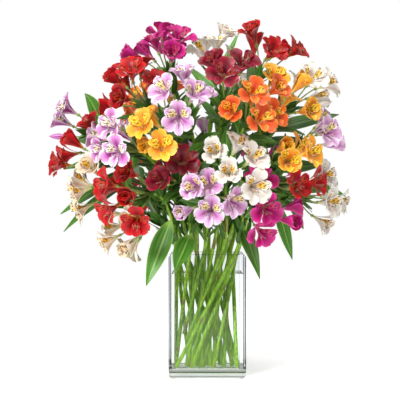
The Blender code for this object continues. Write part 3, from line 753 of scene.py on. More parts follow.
def petal_material(name, flesh, edge, middle, middle_share, throat, throat_end, blotch, dashes, tip):
    made, tree, shader = new_material(
        name, 0.40, 0.28, Subsurface_Weight=0.10, Subsurface_Scale=0.002, Sheen_Weight=0.04
    )
    across, along_it, uv = across_and_along(tree)
    shade = blend(tree, step(tree, across, 0.45, 1.0), colour(flesh), colour(edge))
    stripe = times(tree, step(tree, across, middle_share, 0.0), step(tree, along_it, 1.0, 0.45))
    shade = blend(tree, stripe, shade, colour(middle))
    veins = add(tree, "ShaderNodeTexNoise", {"Vector": stretched(tree, uv, 18.0, 1.3), "Scale": 1.0, "Detail": 2.0})
    shade = blend(tree, times(tree, step(tree, veins, 0.48, 0.70), 0.6), shade, colour(middle))
    shade = blend(tree, step(tree, along_it, throat_end + 0.15, throat_end - 0.1), shade, colour(throat))
    if blotch:
        inside = times(tree, step(tree, along_it, 0.22, 0.42), step(tree, along_it, 0.80, 0.62))
        patch = times(tree, inside, step(tree, across, 1.0, 0.6))
        shade = blend(tree, patch, shade, colour(blotch))
    if dashes:
        cells = add(
            tree, "ShaderNodeTexVoronoi", {"Vector": stretched(tree, uv, 7.0, 5.0), "Scale": 1.0},
            voronoi_dimensions="2D",
        )
        band = times(tree, step(tree, along_it, 0.12, 0.28), step(tree, along_it, 0.97, 0.80))
        shade = blend(tree, times(tree, step(tree, cells, 0.36, 0.26), band), shade, colour(dashes))
    if tip:
        at_tip = times(tree, step(tree, along_it, 0.90, 0.97), step(tree, across, 0.9, 0.3))
        shade = blend(tree, at_tip, shade, colour(tip))
    tree.links.new(vary(tree, shade), shader.inputs["Base Color"])
    bump = add(tree, "ShaderNodeBump", {"Strength": 0.25, "Distance": 0.0004, "Height": veins})
    tree.links.new(bump, shader.inputs["Normal"])
    return made


# %% [markdown]
# ## The varieties
# Nine colours stand in the vase. Each has an outer tepal, a marked inner one for the two at
# the top and a plainer inner one for the lip. The hex values are listed for each.

# %% The nine varieties
GREEN_TIP = "#8FA653"
VARIETIES = {
    "magenta": {
        "outer": ("#BC1474", "#D63E98", "#8E0A58", 0.38, "#D98AAE", 0.08, None, None, "#9A4268"),
        "inner": ("#B21069", "#CE308A", "#80084C", 0.32, "#EFC0A4", 0.18, "#C83A6C", "#3C0622", None),
        "style": ("#D7679B", "#6B4A3E", "#93A860"),
    },
    "red": {
        "outer": ("#B40812", "#D01C20", "#74040C", 0.46, "#D09040", 0.06, None, None, "#6B5E2A"),
        "inner": ("#AE0710", "#C8181C", "#6A030A", 0.40, "#E2A840", 0.16, "#C43A1E", "#240104", None),
        "style": ("#D9504A", "#5E4630", "#8FA653"),
    },
    "crimson": {
        "outer": ("#7A0820", "#9E1836", "#4E0414", 0.50, "#A87A4C", 0.06, None, None, "#5E5A30"),
        "inner": ("#76071E", "#941430", "#480312", 0.44, "#D9A24C", 0.16, "#94302A", "#200106", None),
        "style": ("#C8506A", "#54402E", "#8FA653"),
    },
    "white": {
        "outer": ("#F0EBE2", "#F7F4EE", "#DEC8BE", 0.32, "#D6D8A2", 0.14, None, None, GREEN_TIP),
        "inner": ("#F0E9DC", "#F6F2E9", "#DCC4B6", 0.28, "#DADA9E", 0.12, "#F0C444", "#5E1630", None),
        "style": ("#EFDCD8", "#75694A", "#9DB565"),
    },
    "cream": {
        "outer": ("#EDE0C4", "#F4EBD8", "#DFA48E", 0.42, "#D2D494", 0.14, None, None, GREEN_TIP),
        "inner": ("#ECDDBC", "#F2E8D2", "#DDB48E", 0.32, "#DCD894", 0.12, "#EEB83C", "#66281E", None),
        "style": ("#EFD3C2", "#75694A", "#9DB565"),
    },
    "orange": {
        "outer": ("#EA6026", "#F4854A", "#C83A16", 0.42, "#EFB45A", 0.10, None, None, "#8E7A30"),
        "inner": ("#F07A26", "#F79A46", "#D8501C", 0.34, "#FAC44A", 0.18, "#FFBA2C", "#5C140C", None),
        "style": ("#F0905A", "#5E4630", "#93A860"),
    },
    "yellow": {
        "outer": ("#FAAA2C", "#FBC14E", "#EE7A26", 0.36, "#F6D27A", 0.12, None, None, "#9FA640"),
        "inner": ("#FDBE2C", "#FFD058", "#F29A24", 0.28, "#FFE07A", 0.20, "#FFD434", "#7A2A12", None),
        "style": ("#F6B45A", "#6B5536", "#93A860"),
    },
    "lilac": {
        "outer": ("#DBADD4", "#F2E2EF", "#A84298", 0.46, "#E6D8C0", 0.08, None, None, "#9AA070"),
        "inner": ("#E2BCDC", "#F4E6F1", "#A84A9E", 0.34, "#EFE6C4", 0.12, "#F4E08A", "#4C1246", None),
        "style": ("#DFA9DA", "#6B5A6A", "#9DB078"),
    },
    "purple": {
        "outer": ("#D48CC8", "#F6E6F2", "#92207E", 0.62, "#E8DCD0", 0.08, None, None, "#8F9A6A"),
        "inner": ("#E0B2DA", "#F6EAF3", "#983088", 0.44, "#EFE4D0", 0.12, "#F2E8C0", "#4E144C", None),
        "style": ("#D09AD2", "#5E4E60", "#9DB078"),
    },
}
paint = {}
for variety, recipe in VARIETIES.items():
    paint[variety] = {
        "outer": petal_material(f"petal_outer_{variety}", *recipe["outer"]),
        "inner": petal_material(f"petal_marked_{variety}", *recipe["inner"]),
        "lip": petal_material(f"petal_lip_{variety}", *recipe["inner"][:6], None, None, None),
    }
print(len(paint), "varieties painted")

# %% [markdown]
# ## Plain flesh: filaments, anthers, pedicels and buds
# The stamens are thin threads with a dusty grey-green anther. The pedicels and the ovary are
# waxy green, and a bud is a tight green-tipped spindle with the colour of its petals.

# %% Materials of the small parts
def flesh_material(name, low, high, roughness, grain_mm):
    """Two close colours, mottled at a real grain, for the small fleshy parts."""
    made, tree, shader = new_material(name, roughness, 0.4)
    at = add(tree, "ShaderNodeTexCoord", {}, out=3)
    mottle = add(tree, "ShaderNodeTexNoise", {"Vector": at, "Scale": 1000 / grain_mm, "Detail": 3.0})
    shade = blend(tree, step(tree, mottle, 0.35, 0.65), colour(low), colour(high))
    tree.links.new(vary(tree, shade, 0.10), shader.inputs["Base Color"])
    bump = add(tree, "ShaderNodeBump", {"Strength": 0.2, "Distance": 0.0002, "Height": mottle})
    tree.links.new(bump, shader.inputs["Normal"])
    return made


def bud_material(name, flesh, middle):
    made, tree, shader = new_material(name, 0.42, 0.35)
    across, along_it, uv = across_and_along(tree)
    ribs = add(tree, "ShaderNodeTexNoise", {"Vector": stretched(tree, uv, 16.0, 1.0), "Scale": 1.0, "Detail": 1.0})
    shade = blend(tree, step(tree, ribs, 0.42, 0.66), colour(flesh), colour(middle))
    shade = blend(tree, step(tree, along_it, 0.30, 0.12), shade, colour("#9DB565"))
    shade = blend(tree, step(tree, along_it, 0.84, 0.98), shade, colour("#7F9C45"))
    tree.links.new(vary(tree, shade, 0.08), shader.inputs["Base Color"])
    return made


for variety, recipe in VARIETIES.items():
    filament, anther, pedicel_green = recipe["style"]
    paint[variety]["filament"] = flesh_material(f"filament_{variety}", filament, filament, 0.4, 2.0)
    paint[variety]["anther"] = flesh_material(f"anther_{variety}", anther, "#A39B6E", 0.8, 0.6)
    paint[variety]["bud"] = bud_material(f"bud_{variety}", recipe["outer"][0], recipe["outer"][2])
pedicel_skin = flesh_material("pedicel_skin", "#7F9C45", "#A3B866", 0.4, 3.0)

# %% [markdown]
# ## One tepal
# A tepal starts as a narrow claw, rises with its neighbours as a funnel, then opens into a
# broad blade that bends outwards. A flat grid is the right start, because its rows become
# the ribs across the tepal. Its points are laid on a curve from claw to tip, the edges are
# lifted and waved, and Solidify gives it the third of a millimetre that a petal has.

# %% The tepal blanks
# Each line is four handles of a curve, as the distance from the flower's middle and the height
FORMS = {
    "open": {
        "outer": [(0.0012, 0.000), (0.0040, 0.0160), (0.0120, 0.0250), (0.0240, 0.0262)],
        "inner": [(0.0009, 0.001), (0.0030, 0.0170), (0.0090, 0.0262), (0.0216, 0.0290)],
        "cup": (0.16, 0.34),
    },
    "half": {
        "outer": [(0.0012, 0.000), (0.0048, 0.0160), (0.0095, 0.0255), (0.0190, 0.0305)],
        "inner": [(0.0009, 0.001), (0.0034, 0.0175), (0.0068, 0.0265), (0.0150, 0.0330)],
        "cup": (0.24, 0.40),
    },
    "young": {
        "outer": [(0.0012, 0.000), (0.0056, 0.0150), (0.0092, 0.0255), (0.0118, 0.0355)],
        "inner": [(0.0009, 0.001), (0.0038, 0.0165), (0.0058, 0.0260), (0.0080, 0.0365)],
        "cup": (0.40, 0.46),
    },
}
WIDTHS = {
    "outer": [(0, 0.0013), (0.2, 0.0024), (0.4, 0.0050), (0.6, 0.0096), (0.78, 0.0130), (0.9, 0.0118), (0.97, 0.0076), (1, 0.0020)],
    "inner": [(0, 0.0010), (0.25, 0.0018), (0.5, 0.0043), (0.7, 0.0074), (0.82, 0.0083), (0.92, 0.0064), (1, 0.0012)],
}
GRIDS = {"outer": (6, 9), "inner": (4, 8)}
PETAL_THICKNESS = 0.00035


def tepal(form, kind):
    """A tepal that points along +X and opens towards +Z, with its claw at the origin."""
    let_go()
    columns, rows = GRIDS[kind]
    bpy.ops.mesh.primitive_grid_add(x_subdivisions=columns, y_subdivisions=rows, size=2.0)
    made = bpy.context.object
    made.name = f"{form}_{kind}_tepal"
    co = corners(made)
    side = co[:, 0]
    t = 1 - (1 - (co[:, 1] + 1) / 2) ** 1.25
    p = [np.array(q) for q in FORMS[form][kind]]
    t1 = t[:, None]
    spine = p[0] * (1 - t1) ** 3 + p[1] * 3 * t1 * (1 - t1) ** 2 + p[2] * 3 * t1**2 * (1 - t1) + p[3] * t1**3
    rise = (p[1] - p[0]) * (1 - t1) ** 2 + (p[2] - p[1]) * 2 * t1 * (1 - t1) + (p[3] - p[2]) * t1**2
    rise = rise / np.linalg.norm(rise, axis=1)[:, None]
    inwards = np.stack([-rise[:, 1], rise[:, 0]], axis=1)
    half = np.interp(t, *zip(*WIDTHS[kind]))
    cup = FORMS[form]["cup"][0 if kind == "outer" else 1]
    frill = 0.0015 * side**2 * np.sin(t * 15 + side * 2.2) * np.clip((t - 0.35) * 2, 0, 1)
    lift = cup * side**2 * half + frill
    place = spine + inwards * lift[:, None]
    notch = 0.0016 * (np.abs(side) - 0.35) * np.clip((t - 0.85) / 0.15, 0, 1)
    place = place + rise * notch[:, None]
    set_corners(made, np.stack([place[:, 0], side * half * (1 - cup * 0.4 * side**2), place[:, 1]], axis=1))
    thick = made.modifiers.new("Flesh", "SOLIDIFY")
    thick.thickness = PETAL_THICKNESS
    thick.offset = 0.0
    bpy.ops.object.modifier_apply(modifier="Flesh")
    smooth(made, 60)
    return made


tepals = {(form, kind): tepal(form, kind) for form in FORMS for kind in ("outer", "inner")}
print("an outer tepal has", len(tepals["open", "outer"].data.polygons), "faces")

# %% [markdown]
# ## Stamens, ovary and bud
# Six stamens lie along the lower side of the throat and turn up at their ends, each with an
# anther like a grain of rice. A bevelled curve draws the thread, and a small sphere, drawn
# long, makes the anther. The ovary below the petals is a ribbed green knob, and a bud is the
# same sphere pulled into a spindle.

# %% The stamen blank and the ovary
def drawn_curve(name, runs, radii, sides):
    """Tapered round threads through the runs of points, turned into one mesh."""
    shape = bpy.data.curves.new(name, "CURVE")
    shape.dimensions = "3D"
    shape.bevel_depth = 1.0
    shape.bevel_resolution = max(0, sides // 2 - 2)
    shape.use_fill_caps = True
    for run, thickness in zip(runs, radii):
        line = shape.splines.new("POLY")
        line.points.add(len(run) - 1)
        for point, place, radius in zip(line.points, run, thickness):
            point.co = (*place, 1.0)
            point.radius = radius
        line.use_smooth = True
    made = bpy.data.objects.new(name, shape)
    bpy.context.scene.collection.objects.link(made)
    take(made)
    bpy.ops.object.convert(target="MESH")
    made = bpy.context.object
    bpy.ops.object.mode_set(mode="EDIT")
    bpy.ops.mesh.select_all(action="SELECT")
    bpy.ops.mesh.remove_doubles(threshold=0.00001)
    bpy.ops.mesh.normals_make_consistent(inside=False)
    bpy.ops.object.mode_set(mode="OBJECT")
    return made


def spindle(name, radius, length, segments, rings, fullness):
    """A sphere drawn out along +Z, with its widest place set by fullness."""
    let_go()
    bpy.ops.mesh.primitive_uv_sphere_add(segments=segments, ring_count=rings, radius=1.0)
    made = bpy.context.object
    made.name = name
    co = corners(made)
    t = (co[:, 2] + 1) / 2
    around = np.arctan2(co[:, 1], co[:, 0])
    out = np.sin(np.pi * t**fullness) ** 0.85 * radius
    set_corners(made, np.stack([np.cos(around) * out, np.sin(around) * out, t * length], axis=1))
    return made


def stamen_run(side, drop, reach):
    """A filament that sinks towards the lip, then turns up."""
    run = []
    for k in range(6):
        t = k / 5
        run.append((side * t**1.3, -drop * math.sin(math.pi * 0.62 * t), reach * t))
    return run


filament_runs = []
for k in range(6):
    spread = (k - 2.5) / 2.5
    filament_runs.append(stamen_run(spread * 0.0052, 0.0040 + 0.0018 * (k % 2), 0.0225 + 0.0026 * ((k * 2) % 3)))
filament_blank = drawn_curve("filaments", filament_runs, [[0.00042] * 6] * 6, 4)
anther_blank = spindle("anther", 0.0009, 0.0042, 6, 4, 1.0)
anthers = []
for run in filament_runs:
    tilt = Matrix.Rotation(0.5 - run[-1][0] * 60, 4, "X")
    anthers.append(copy_of(anther_blank, "anther_copy", Matrix.Translation(Vector(run[-1]) - Vector((0, 0, 0.0014))) @ tilt))
put_away(anther_blank)
anthers_blank = join(anthers, "anthers")
smooth(anthers_blank)
ovary_blank = spindle("ovary", 0.0027, 0.0080, 8, 5, 0.9)
smooth(ovary_blank)
bud_blank = spindle("bud", BUD_RADIUS * 1.06, BUD_LENGTH, 12, 9, 0.78)
smooth(bud_blank)
print("the stamens end", round(max(r[-1][2] for r in filament_runs) * 1000, 1), "mm up the flower")

# %% [markdown]
# ## The whole flower, once for each variety
# Three outer tepals stand at the top and at the lower sides. Between them stand two marked
# tepals above and the lip below. One flower is put together for each variety, and every
# flower in the bunch is a copy of it, with its own size, turn and tone.

# %% The flower blanks
def coloured(obj, material):
    obj.data.materials.clear()
    obj.data.materials.append(material)
    return obj


jitter = random.Random(5)


def flower_blank(variety, form):
    finish = paint[variety]
    bits = []
    for k in range(6):
        kind = "outer" if k % 2 == 0 else "inner"
        turn = Matrix.Rotation(math.pi / 2 + k * math.pi / 3 + jitter.uniform(-0.09, 0.09), 4, "Z")
        lean = Matrix.Rotation(jitter.uniform(-0.10, 0.10), 4, "Y")
        part = "outer" if k % 2 == 0 else ("lip" if k == 3 else "inner")
        bits.append(coloured(copy_of(tepals[form, kind], f"{variety}_{k}", turn @ lean), finish[part]))
    lift = Matrix.Translation((0, 0, 0.001))
    bits.append(coloured(copy_of(filament_blank, f"{variety}_filaments", lift), finish["filament"]))
    bits.append(coloured(copy_of(anthers_blank, f"{variety}_anthers", lift), finish["anther"]))
    bits.append(coloured(copy_of(ovary_blank, f"{variety}_ovary", Matrix.Translation((0, 0, -0.0052))), pedicel_skin))
    return join(bits, f"{form}_{variety}")


flower_blanks = {(variety, form): flower_blank(variety, form) for variety in VARIETIES for form in FORMS}
bud_blanks = {variety: coloured(copy_of(bud_blank, f"bud_{variety}", Matrix()), paint[variety]["bud"]) for variety in VARIETIES}
for blank in list(tepals.values()) + [filament_blank, anthers_blank, ovary_blank, bud_blank]:
    put_away(blank)
print("a flower has", len(flower_blanks["red", "open"].data.polygons), "faces")

# %% [markdown]
# ## The umbels
# All pedicels of an umbel leave one point at the stem's end, so each runs as a smooth curve
# from that hub to the base of its flower. Its path is the one that the solid takes. The
# flowers are copied on to the ends, and the umbel is joined into one piece.

# %% The umbels
def pose_matrix(pose, size):
    """Where a flower stands: its base, its face and its upright as one matrix."""
    _, base, axis, up, _ = pose
    turned = Matrix((up.cross(axis), up, axis)).transposed().to_4x4()
    return Matrix.Translation(base) @ turned @ Matrix.Scale(size, 4)


def pedicel_run(hub, outward, base, axis):
    """A pedicel that leaves the hub straight and bends a little to meet its flower."""
    start, end = pedicel_ends(hub, outward, base)
    reach = (end - start).length
    handles = (start, start.lerp(end, 0.35), end - axis * reach * 0.30, end)
    run = []
    for k in range(9):
        t = k / 8
        a, b, c, d = handles
        run.append(a * (1 - t) ** 3 + b * 3 * t * (1 - t) ** 2 + c * 3 * t**2 * (1 - t) + d * t**3)
    return run


FORM_SHARES = ["open", "open", "half", "open", "young", "open", "half"]
tones = random.Random(11)
umbels = []
for i, row in enumerate(HEADS):
    name = f"umbel_{i + 1:02d}_{row[0]}"
    head_tone = tones.uniform(0.3, 0.7)
    bits, runs, radii = [], [], []
    for k, pose in enumerate(flowers[i]):
        form = FORM_SHARES[(i * 3 + k) % len(FORM_SHARES)]
        blank = flower_blanks[row[0], form] if pose[4] == FLOWER_BALL else bud_blanks[row[0]]
        size = tones.uniform(1.05, 1.14)
        tone = min(1.0, max(0.0, head_tone + tones.uniform(-0.3, 0.3)))
        bits.append(copy_of(blank, f"{name}_bloom_{k}", pose_matrix(pose, size), tone))
        runs.append(pedicel_run(hubs[i], outwards[i], pose[1], pose[2]))
        radii.append([PEDICEL_RADIUS * 1.15] + [PEDICEL_RADIUS * 0.92] * 7 + [PEDICEL_RADIUS * 1.05])
    arriving = (stems[i][-1] - stems[i][-2]).normalized()
    runs.append([hubs[i] + arriving * HUB_HALF * s for s in (-1.0, -0.4, 0.5, 1.0)])
    radii.append([STEM_TOP_RADIUS, STEM_TOP_RADIUS * 1.15, HUB_RADIUS, HUB_RADIUS * 0.8])
    bits.append(coloured(drawn_curve(f"{name}_pedicels", runs, radii, 8), pedicel_skin))
    umbel = join(bits[::-1], name + "_petals")
    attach(umbel, "root")
    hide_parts(name)
    umbels.append(umbel)
for blank in list(flower_blanks.values()) + list(bud_blanks.values()):
    put_away(blank)
print("the umbels have", sum(len(u.data.polygons) for u in umbels), "faces")

# %% [markdown]
# ## Leaves and stems
# An alstroemeria leaf is a thin lance with parallel veins, folded a little along its middle.
# The stem is a smooth, juicy rod, brighter where it is young. Each leaf is a copy of one flat
# blade, laid along the curve that its solid follows, and fused in one piece with its stem.

# %% Leaf and stem materials
leaf_skin, tree, shader = new_material("leaf_skin", 0.38, 0.45, Subsurface_Weight=0.05, Subsurface_Scale=0.001)
across, along_it, uv = across_and_along(tree)
veins = add(tree, "ShaderNodeTexNoise", {"Vector": stretched(tree, uv, 26.0, 1.2), "Scale": 1.0, "Detail": 2.0})
shade = blend(tree, step(tree, veins, 0.38, 0.66), colour("#2F5F1A"), colour("#548A2C"))
shade = blend(tree, times(tree, step(tree, across, 0.16, 0.02), 0.6), shade, colour("#8DB650"))
shade = blend(tree, times(tree, step(tree, across, 0.80, 1.0), 0.5), shade, colour("#83B046"))
shade = blend(tree, step(tree, along_it, 0.20, 0.0), shade, colour("#88AC4C"))
tree.links.new(vary(tree, shade, 0.50), shader.inputs["Base Color"])
tree.links.new(add(tree, "ShaderNodeBump", {"Strength": 0.35, "Distance": 0.0004, "Height": veins}), shader.inputs["Normal"])

stem_skin, tree, shader = new_material("stem_skin", 0.35, 0.5)
at = add(tree, "ShaderNodeTexCoord", {}, out=3)
ribs = add(tree, "ShaderNodeTexNoise", {"Vector": add(tree, "ShaderNodeVectorMath", {0: at, 1: (420.0, 420.0, 18.0)}, operation="MULTIPLY"), "Scale": 1.0, "Detail": 3.0})
patches = add(tree, "ShaderNodeTexNoise", {"Vector": at, "Scale": 45.0, "Detail": 2.0})
shade = blend(tree, step(tree, ribs, 0.35, 0.70), colour("#659A0E"), colour("#A6CE2C"))
shade = blend(tree, times(tree, step(tree, patches, 0.58, 0.70), 0.65), shade, colour("#84602C"))
tree.links.new(vary(tree, shade, 0.35), shader.inputs["Base Color"])
tree.links.new(add(tree, "ShaderNodeBump", {"Strength": 0.3, "Distance": 0.0004, "Height": ribs}), shader.inputs["Normal"])

# %% The leaf blank, and each leaf laid on its curve
LEAF_FOLD = 0.22
LEAF_SKIN = 0.0005
let_go()
bpy.ops.mesh.primitive_grid_add(x_subdivisions=4, y_subdivisions=14, size=2.0)
leaf_blank = bpy.context.object
flat_leaf = corners(leaf_blank)


def laid_leaf(name, shape, tone, turn):
    """The flat blade bent along its solid's curve, folded, waved and given its thickness."""
    start, middle, tip, width, face = shape
    made = copy_of(leaf_blank, name, Matrix(), tone)
    places = []
    for side, far, _ in flat_leaf:
        t = (far + 1) / 2
        here = curve_point(start, middle, tip, t)
        ahead = curve_point(start, middle, tip, min(t + 0.02, 1.02)) - here
        sideways, over = side_axes(ahead.normalized(), face)
        half = width * max(0.0, half_width(t)) if 0.0 < t < 1.0 else 0.0
        half = max(half, 0.0004)
        lift = LEAF_FOLD * abs(side) * half + 0.0006 * side * math.sin(t * 9 + turn) - 0.0008
        places.append(here + sideways * side * half + over * lift)
    set_corners(made, places)
    take(made)
    thick = made.modifiers.new("Flesh", "SOLIDIFY")
    thick.thickness = LEAF_SKIN
    thick.offset = 0.0
    bpy.ops.object.modifier_apply(modifier="Flesh")
    smooth(made, 60)
    return coloured(made, leaf_skin)


# %% The stems with their leaves
STEM_STEPS = 18
BRACTS = 10
LIGHT_LEAF = (0.35, 1.0)
# painted shade: the bracts and the small leaves in the neck and the depths of the bunch take these darker tones
PAINTED_SHADE_LEAF_TONES = (0.0, 0.45)
WELL_INSIDE = 0.96
SMALL_LEAF_SHARES = (0.14, 0.21, 0.28, 0.36, 0.44, 0.52, 0.60, 0.68, 0.76, 0.84, 0.91, 0.96)


def grown(root, ahead, out, length, width, face):
    """A small blade that leaves its root steeply and opens outwards to its tip."""
    middle = root + (ahead * 0.75 + out * 0.50) * length * 0.5
    tip = middle + (ahead * 0.65 + out * 0.60) * length * 0.5
    return root, middle, tip, width, face


def bracts(i):
    """The ring of small leaves under an umbel, bent up round its pedicels."""
    right, up = side_axes(outwards[i])
    shapes = []
    for k in range(BRACTS):
        angle = tones.uniform(-0.3, 0.3) + 2 * math.pi * k / BRACTS
        out = right * math.cos(angle) + up * math.sin(angle)
        root = hubs[i] - outwards[i] * 0.002
        shapes.append(grown(root, outwards[i], out, tones.uniform(0.032, 0.052), tones.uniform(0.0038, 0.0062), outwards[i]))
    return shapes


def deep_inside(point):
    """True for a point that the flowers of the dome hide from outside."""
    across, depth = point.x / DOME_HALF_WIDTH, point.y / DOME_FRONT
    upright = (point.z - DOME_MIDDLE.z) / DOME_HALF_HEIGHT
    return across**2 + depth**2 + upright**2 < WELL_INSIDE**2


def small_leaves(points):
    """The narrow leaves all up a stem, which fill the neck and the depths of the bunch."""
    shapes = []
    for share in SMALL_LEAF_SHARES:
        root, ahead = along(points[1:], share + tones.uniform(-0.02, 0.02))
        right, up = side_axes(ahead)
        angle = tones.uniform(0, 2 * math.pi)
        out = right * math.cos(angle) + up * math.sin(angle)
        shape = grown(root, ahead, out, tones.uniform(0.036, 0.056), tones.uniform(0.0040, 0.0070), out)
        if root.z > VASE_HEIGHT + 0.008 and (share < 0.4 or deep_inside(shape[2])):
            shapes.append(shape)
    return shapes


green_pieces = []
for i, points in enumerate(stems):
    name = f"stem_{i + 1:02d}"
    fine = stem_points(Vector((points[1].x, points[1].y)), hubs[i], outwards[i], 0.0, STEM_STEPS)[1:]
    run = [points[0].lerp(points[1], s) for s in (0.0, 0.25, 0.5, 0.75)] + fine
    count = len(run) - 1
    low, high = STEM_FOOT_RADIUS * 1.05, STEM_TOP_RADIUS * 1.15
    radii = [low + (high - low) * min(1.0, k / count) for k in range(count + 1)]
    tone = tones.uniform(0.2, 0.9)
    rod = coloured(drawn_curve(name + "_rod", [run], [radii], 12), stem_skin)
    rod.data.attributes.new("tone", "FLOAT", "POINT").data.foreach_set("value", [tone] * len(rod.data.vertices))
    shapes = [(shape, LIGHT_LEAF) for shape in leaves[i]]
    # painted shade: the bracts and the small leaves deep in the bunch are given darker tones than the leaves that show
    shapes += [(shape, PAINTED_SHADE_LEAF_TONES) for shape in bracts(i) + small_leaves(points)]
    blades = []
    for k, (shape, (dark, light)) in enumerate(shapes):
        blades.append(laid_leaf(f"{name}_leaf_{k}", shape, tones.uniform(dark, light), tones.uniform(0, 6)))
    piece = join([rod] + blades, name + "_green")
    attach(piece, "root")
    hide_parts(name)
    green_pieces.append(piece)
put_away(leaf_blank)
print("the stems and leaves have", sum(len(p.data.polygons) for p in green_pieces), "faces")

# %% [markdown]
# ## The vase and the water
# The vase is pressed soda-lime glass, so it has an IOR of 1.5, soft fire-polished edges and
# a floor as thick as a thumb. It is made as by hand: a block with rounded corners, its top
# face inset to the wall and pushed down. The water wets the glass, so its block reaches a
# hair into the wall: a film of air between them would shine like a mirror.

# %% Glass and water
def clear_body(name, tint, ior, shine):
    """A thick clear body that bends the view, and still lets the lamp's light through."""
    made, tree, shader = new_material(name, 0.0, shine, Transmission_Weight=1.0, IOR=ior)
    shader.inputs["Base Color"].default_value = colour(tint)
    rays = tree.nodes.new("ShaderNodeLightPath")
    unseen = add(
        tree, "ShaderNodeMath", {0: rays.outputs["Is Shadow Ray"], 1: rays.outputs["Is Diffuse Ray"]},
        operation="MAXIMUM",
    )
    gap = add(tree, "ShaderNodeBsdfTransparent", {"Color": colour(tint)})
    both = add(tree, "ShaderNodeMixShader", {0: unseen, 1: shader.outputs[0], 2: gap})
    tree.links.new(both, tree.nodes["Material Output"].inputs[0])
    return made


def clear_sheet(name, tint):
    """A thin clear sheet: it only shines at a slant, and darkens by its tint."""
    made, tree, shader = new_material(name, 0.02)
    gap = add(tree, "ShaderNodeBsdfTransparent", {"Color": colour(tint)})
    shine = add(tree, "ShaderNodeBsdfGlossy", {"Roughness": 0.02})
    slant = add(tree, "ShaderNodeFresnel", {"IOR": 1.2})
    both = add(tree, "ShaderNodeMixShader", {0: slant, 1: gap, 2: shine})
    tree.links.new(both, tree.nodes["Material Output"].inputs[0])
    return made


wall_glass = clear_sheet("soda_lime_wall", "#FAFCFB")
# painted shade: the greyer sheet for the rounded corners and the rim stands in for the dark lines that bent light draws
# along the glass's edges
edge_glass_painted_shade = clear_sheet("soda_lime_edge_painted_shade", "#EEF0F4")
floor_glass = clear_body("soda_lime_floor", "#F8FBF9", 1.5, 0.4)
clear_water = clear_body("vase_water", "#FBFDF9", 1.333, 0.1)


# %% The glass vase
def block(name, half, low, high, corner, steps):
    """A square block with rounded upright edges."""
    let_go()
    bpy.ops.mesh.primitive_cube_add(size=1.0, location=(0, 0, (low + high) / 2), scale=(2 * half, 2 * half, high - low))
    made = bpy.context.object
    made.name = name
    bpy.ops.object.transform_apply(location=True, rotation=True, scale=True)
    for edge in made.data.edges:
        a, b = (made.data.vertices[v].co for v in edge.vertices)
        edge.select = abs(a.z - b.z) > 0.5 * (high - low)
    bpy.ops.object.mode_set(mode="EDIT")
    bpy.ops.mesh.select_mode(type="EDGE")
    bpy.ops.object.mode_set(mode="OBJECT")
    for edge in made.data.edges:
        a, b = (made.data.vertices[v].co for v in edge.vertices)
        edge.select = abs(a.z - b.z) > 0.5 * (high - low)
    bpy.ops.object.mode_set(mode="EDIT")
    bpy.ops.mesh.bevel(offset=corner, segments=steps, profile=0.5, affect="EDGES")
    bpy.ops.object.mode_set(mode="OBJECT")
    return made


def cut_level(obj, height):
    """Cuts the faces of a block all round at a height."""
    take(obj)
    bpy.ops.object.mode_set(mode="EDIT")
    bpy.ops.mesh.select_all(action="SELECT")
    bpy.ops.mesh.bisect(plane_co=(0, 0, height), plane_no=(0, 0, 1))
    bpy.ops.object.mode_set(mode="OBJECT")


def only_top(obj, height):
    """Selects the faces that lie at a height and look up."""
    bpy.ops.object.mode_set(mode="EDIT")
    bpy.ops.mesh.select_mode(type="FACE")
    bpy.ops.mesh.select_all(action="DESELECT")
    bpy.ops.object.mode_set(mode="OBJECT")
    for face in obj.data.polygons:
        face.select = face.normal.z > 0.9 and abs(face.center.z - height) < 1e-5
    bpy.ops.object.mode_set(mode="EDIT")


vase = block("vase_glass", VASE_SIDE / 2, 0.0, VASE_HEIGHT, VASE_OUTER_CORNER, 7)
cut_level(vase, VASE_FLOOR)
take(vase)
only_top(vase, VASE_HEIGHT)
bpy.ops.mesh.inset(thickness=VASE_WALL, depth=0.0)
bpy.ops.mesh.extrude_region_move(TRANSFORM_OT_translate={"value": (0, 0, VASE_FLOOR - VASE_HEIGHT)})
bpy.ops.object.mode_set(mode="OBJECT")
edges = vase.modifiers.new("Fire polish", "BEVEL")
edges.width = 0.0016
edges.segments = 4
edges.limit_method = "ANGLE"
edges.angle_limit = math.radians(50)
bpy.ops.object.modifier_apply(modifier="Fire polish")
smooth(vase, 40)
for glass in (wall_glass, edge_glass_painted_shade, floor_glass):
    vase.data.materials.append(glass)
# the floor takes the thick glass; the rounded corners and the rim take the greyer sheet, painted shade for the glass's
# dark edge lines
for face in vase.data.polygons:
    slanted = min(abs(face.normal.x), abs(face.normal.y)) > 0.2 and abs(face.normal.z) < 0.3
    if face.center.z < VASE_FLOOR + 0.001:
        face.material_index = 2
    elif slanted or face.center.z > VASE_HEIGHT - 0.0005:
        face.material_index = 1
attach(vase, "root")
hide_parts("vase")
print("the vase has", len(vase.data.polygons), "faces")

# %% The water
WETTING = 0.0002
water = block("water_body", VASE_SIDE / 2 - VASE_WALL + WETTING, VASE_FLOOR - WETTING, WATER_LEVEL, 0.0014, 4)
take(water)
only_top(water, WATER_LEVEL)
bpy.ops.mesh.inset(thickness=0.0022, depth=0.0)
bpy.ops.transform.translate(value=(0, 0, -0.0012))
bpy.ops.object.mode_set(mode="OBJECT")
smooth(water, 50)
coloured(water, clear_water)
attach(water, "root")
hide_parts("water")

# %% [markdown]
# ## Floor, light and camera
# A studio shot of cut flowers uses a white table that runs up into a white wall, one large
# soft light from the upper left and white all round, so that the shadows stay faint. The
# camera stands level with the lower blooms, about two metres off, so nothing leans.

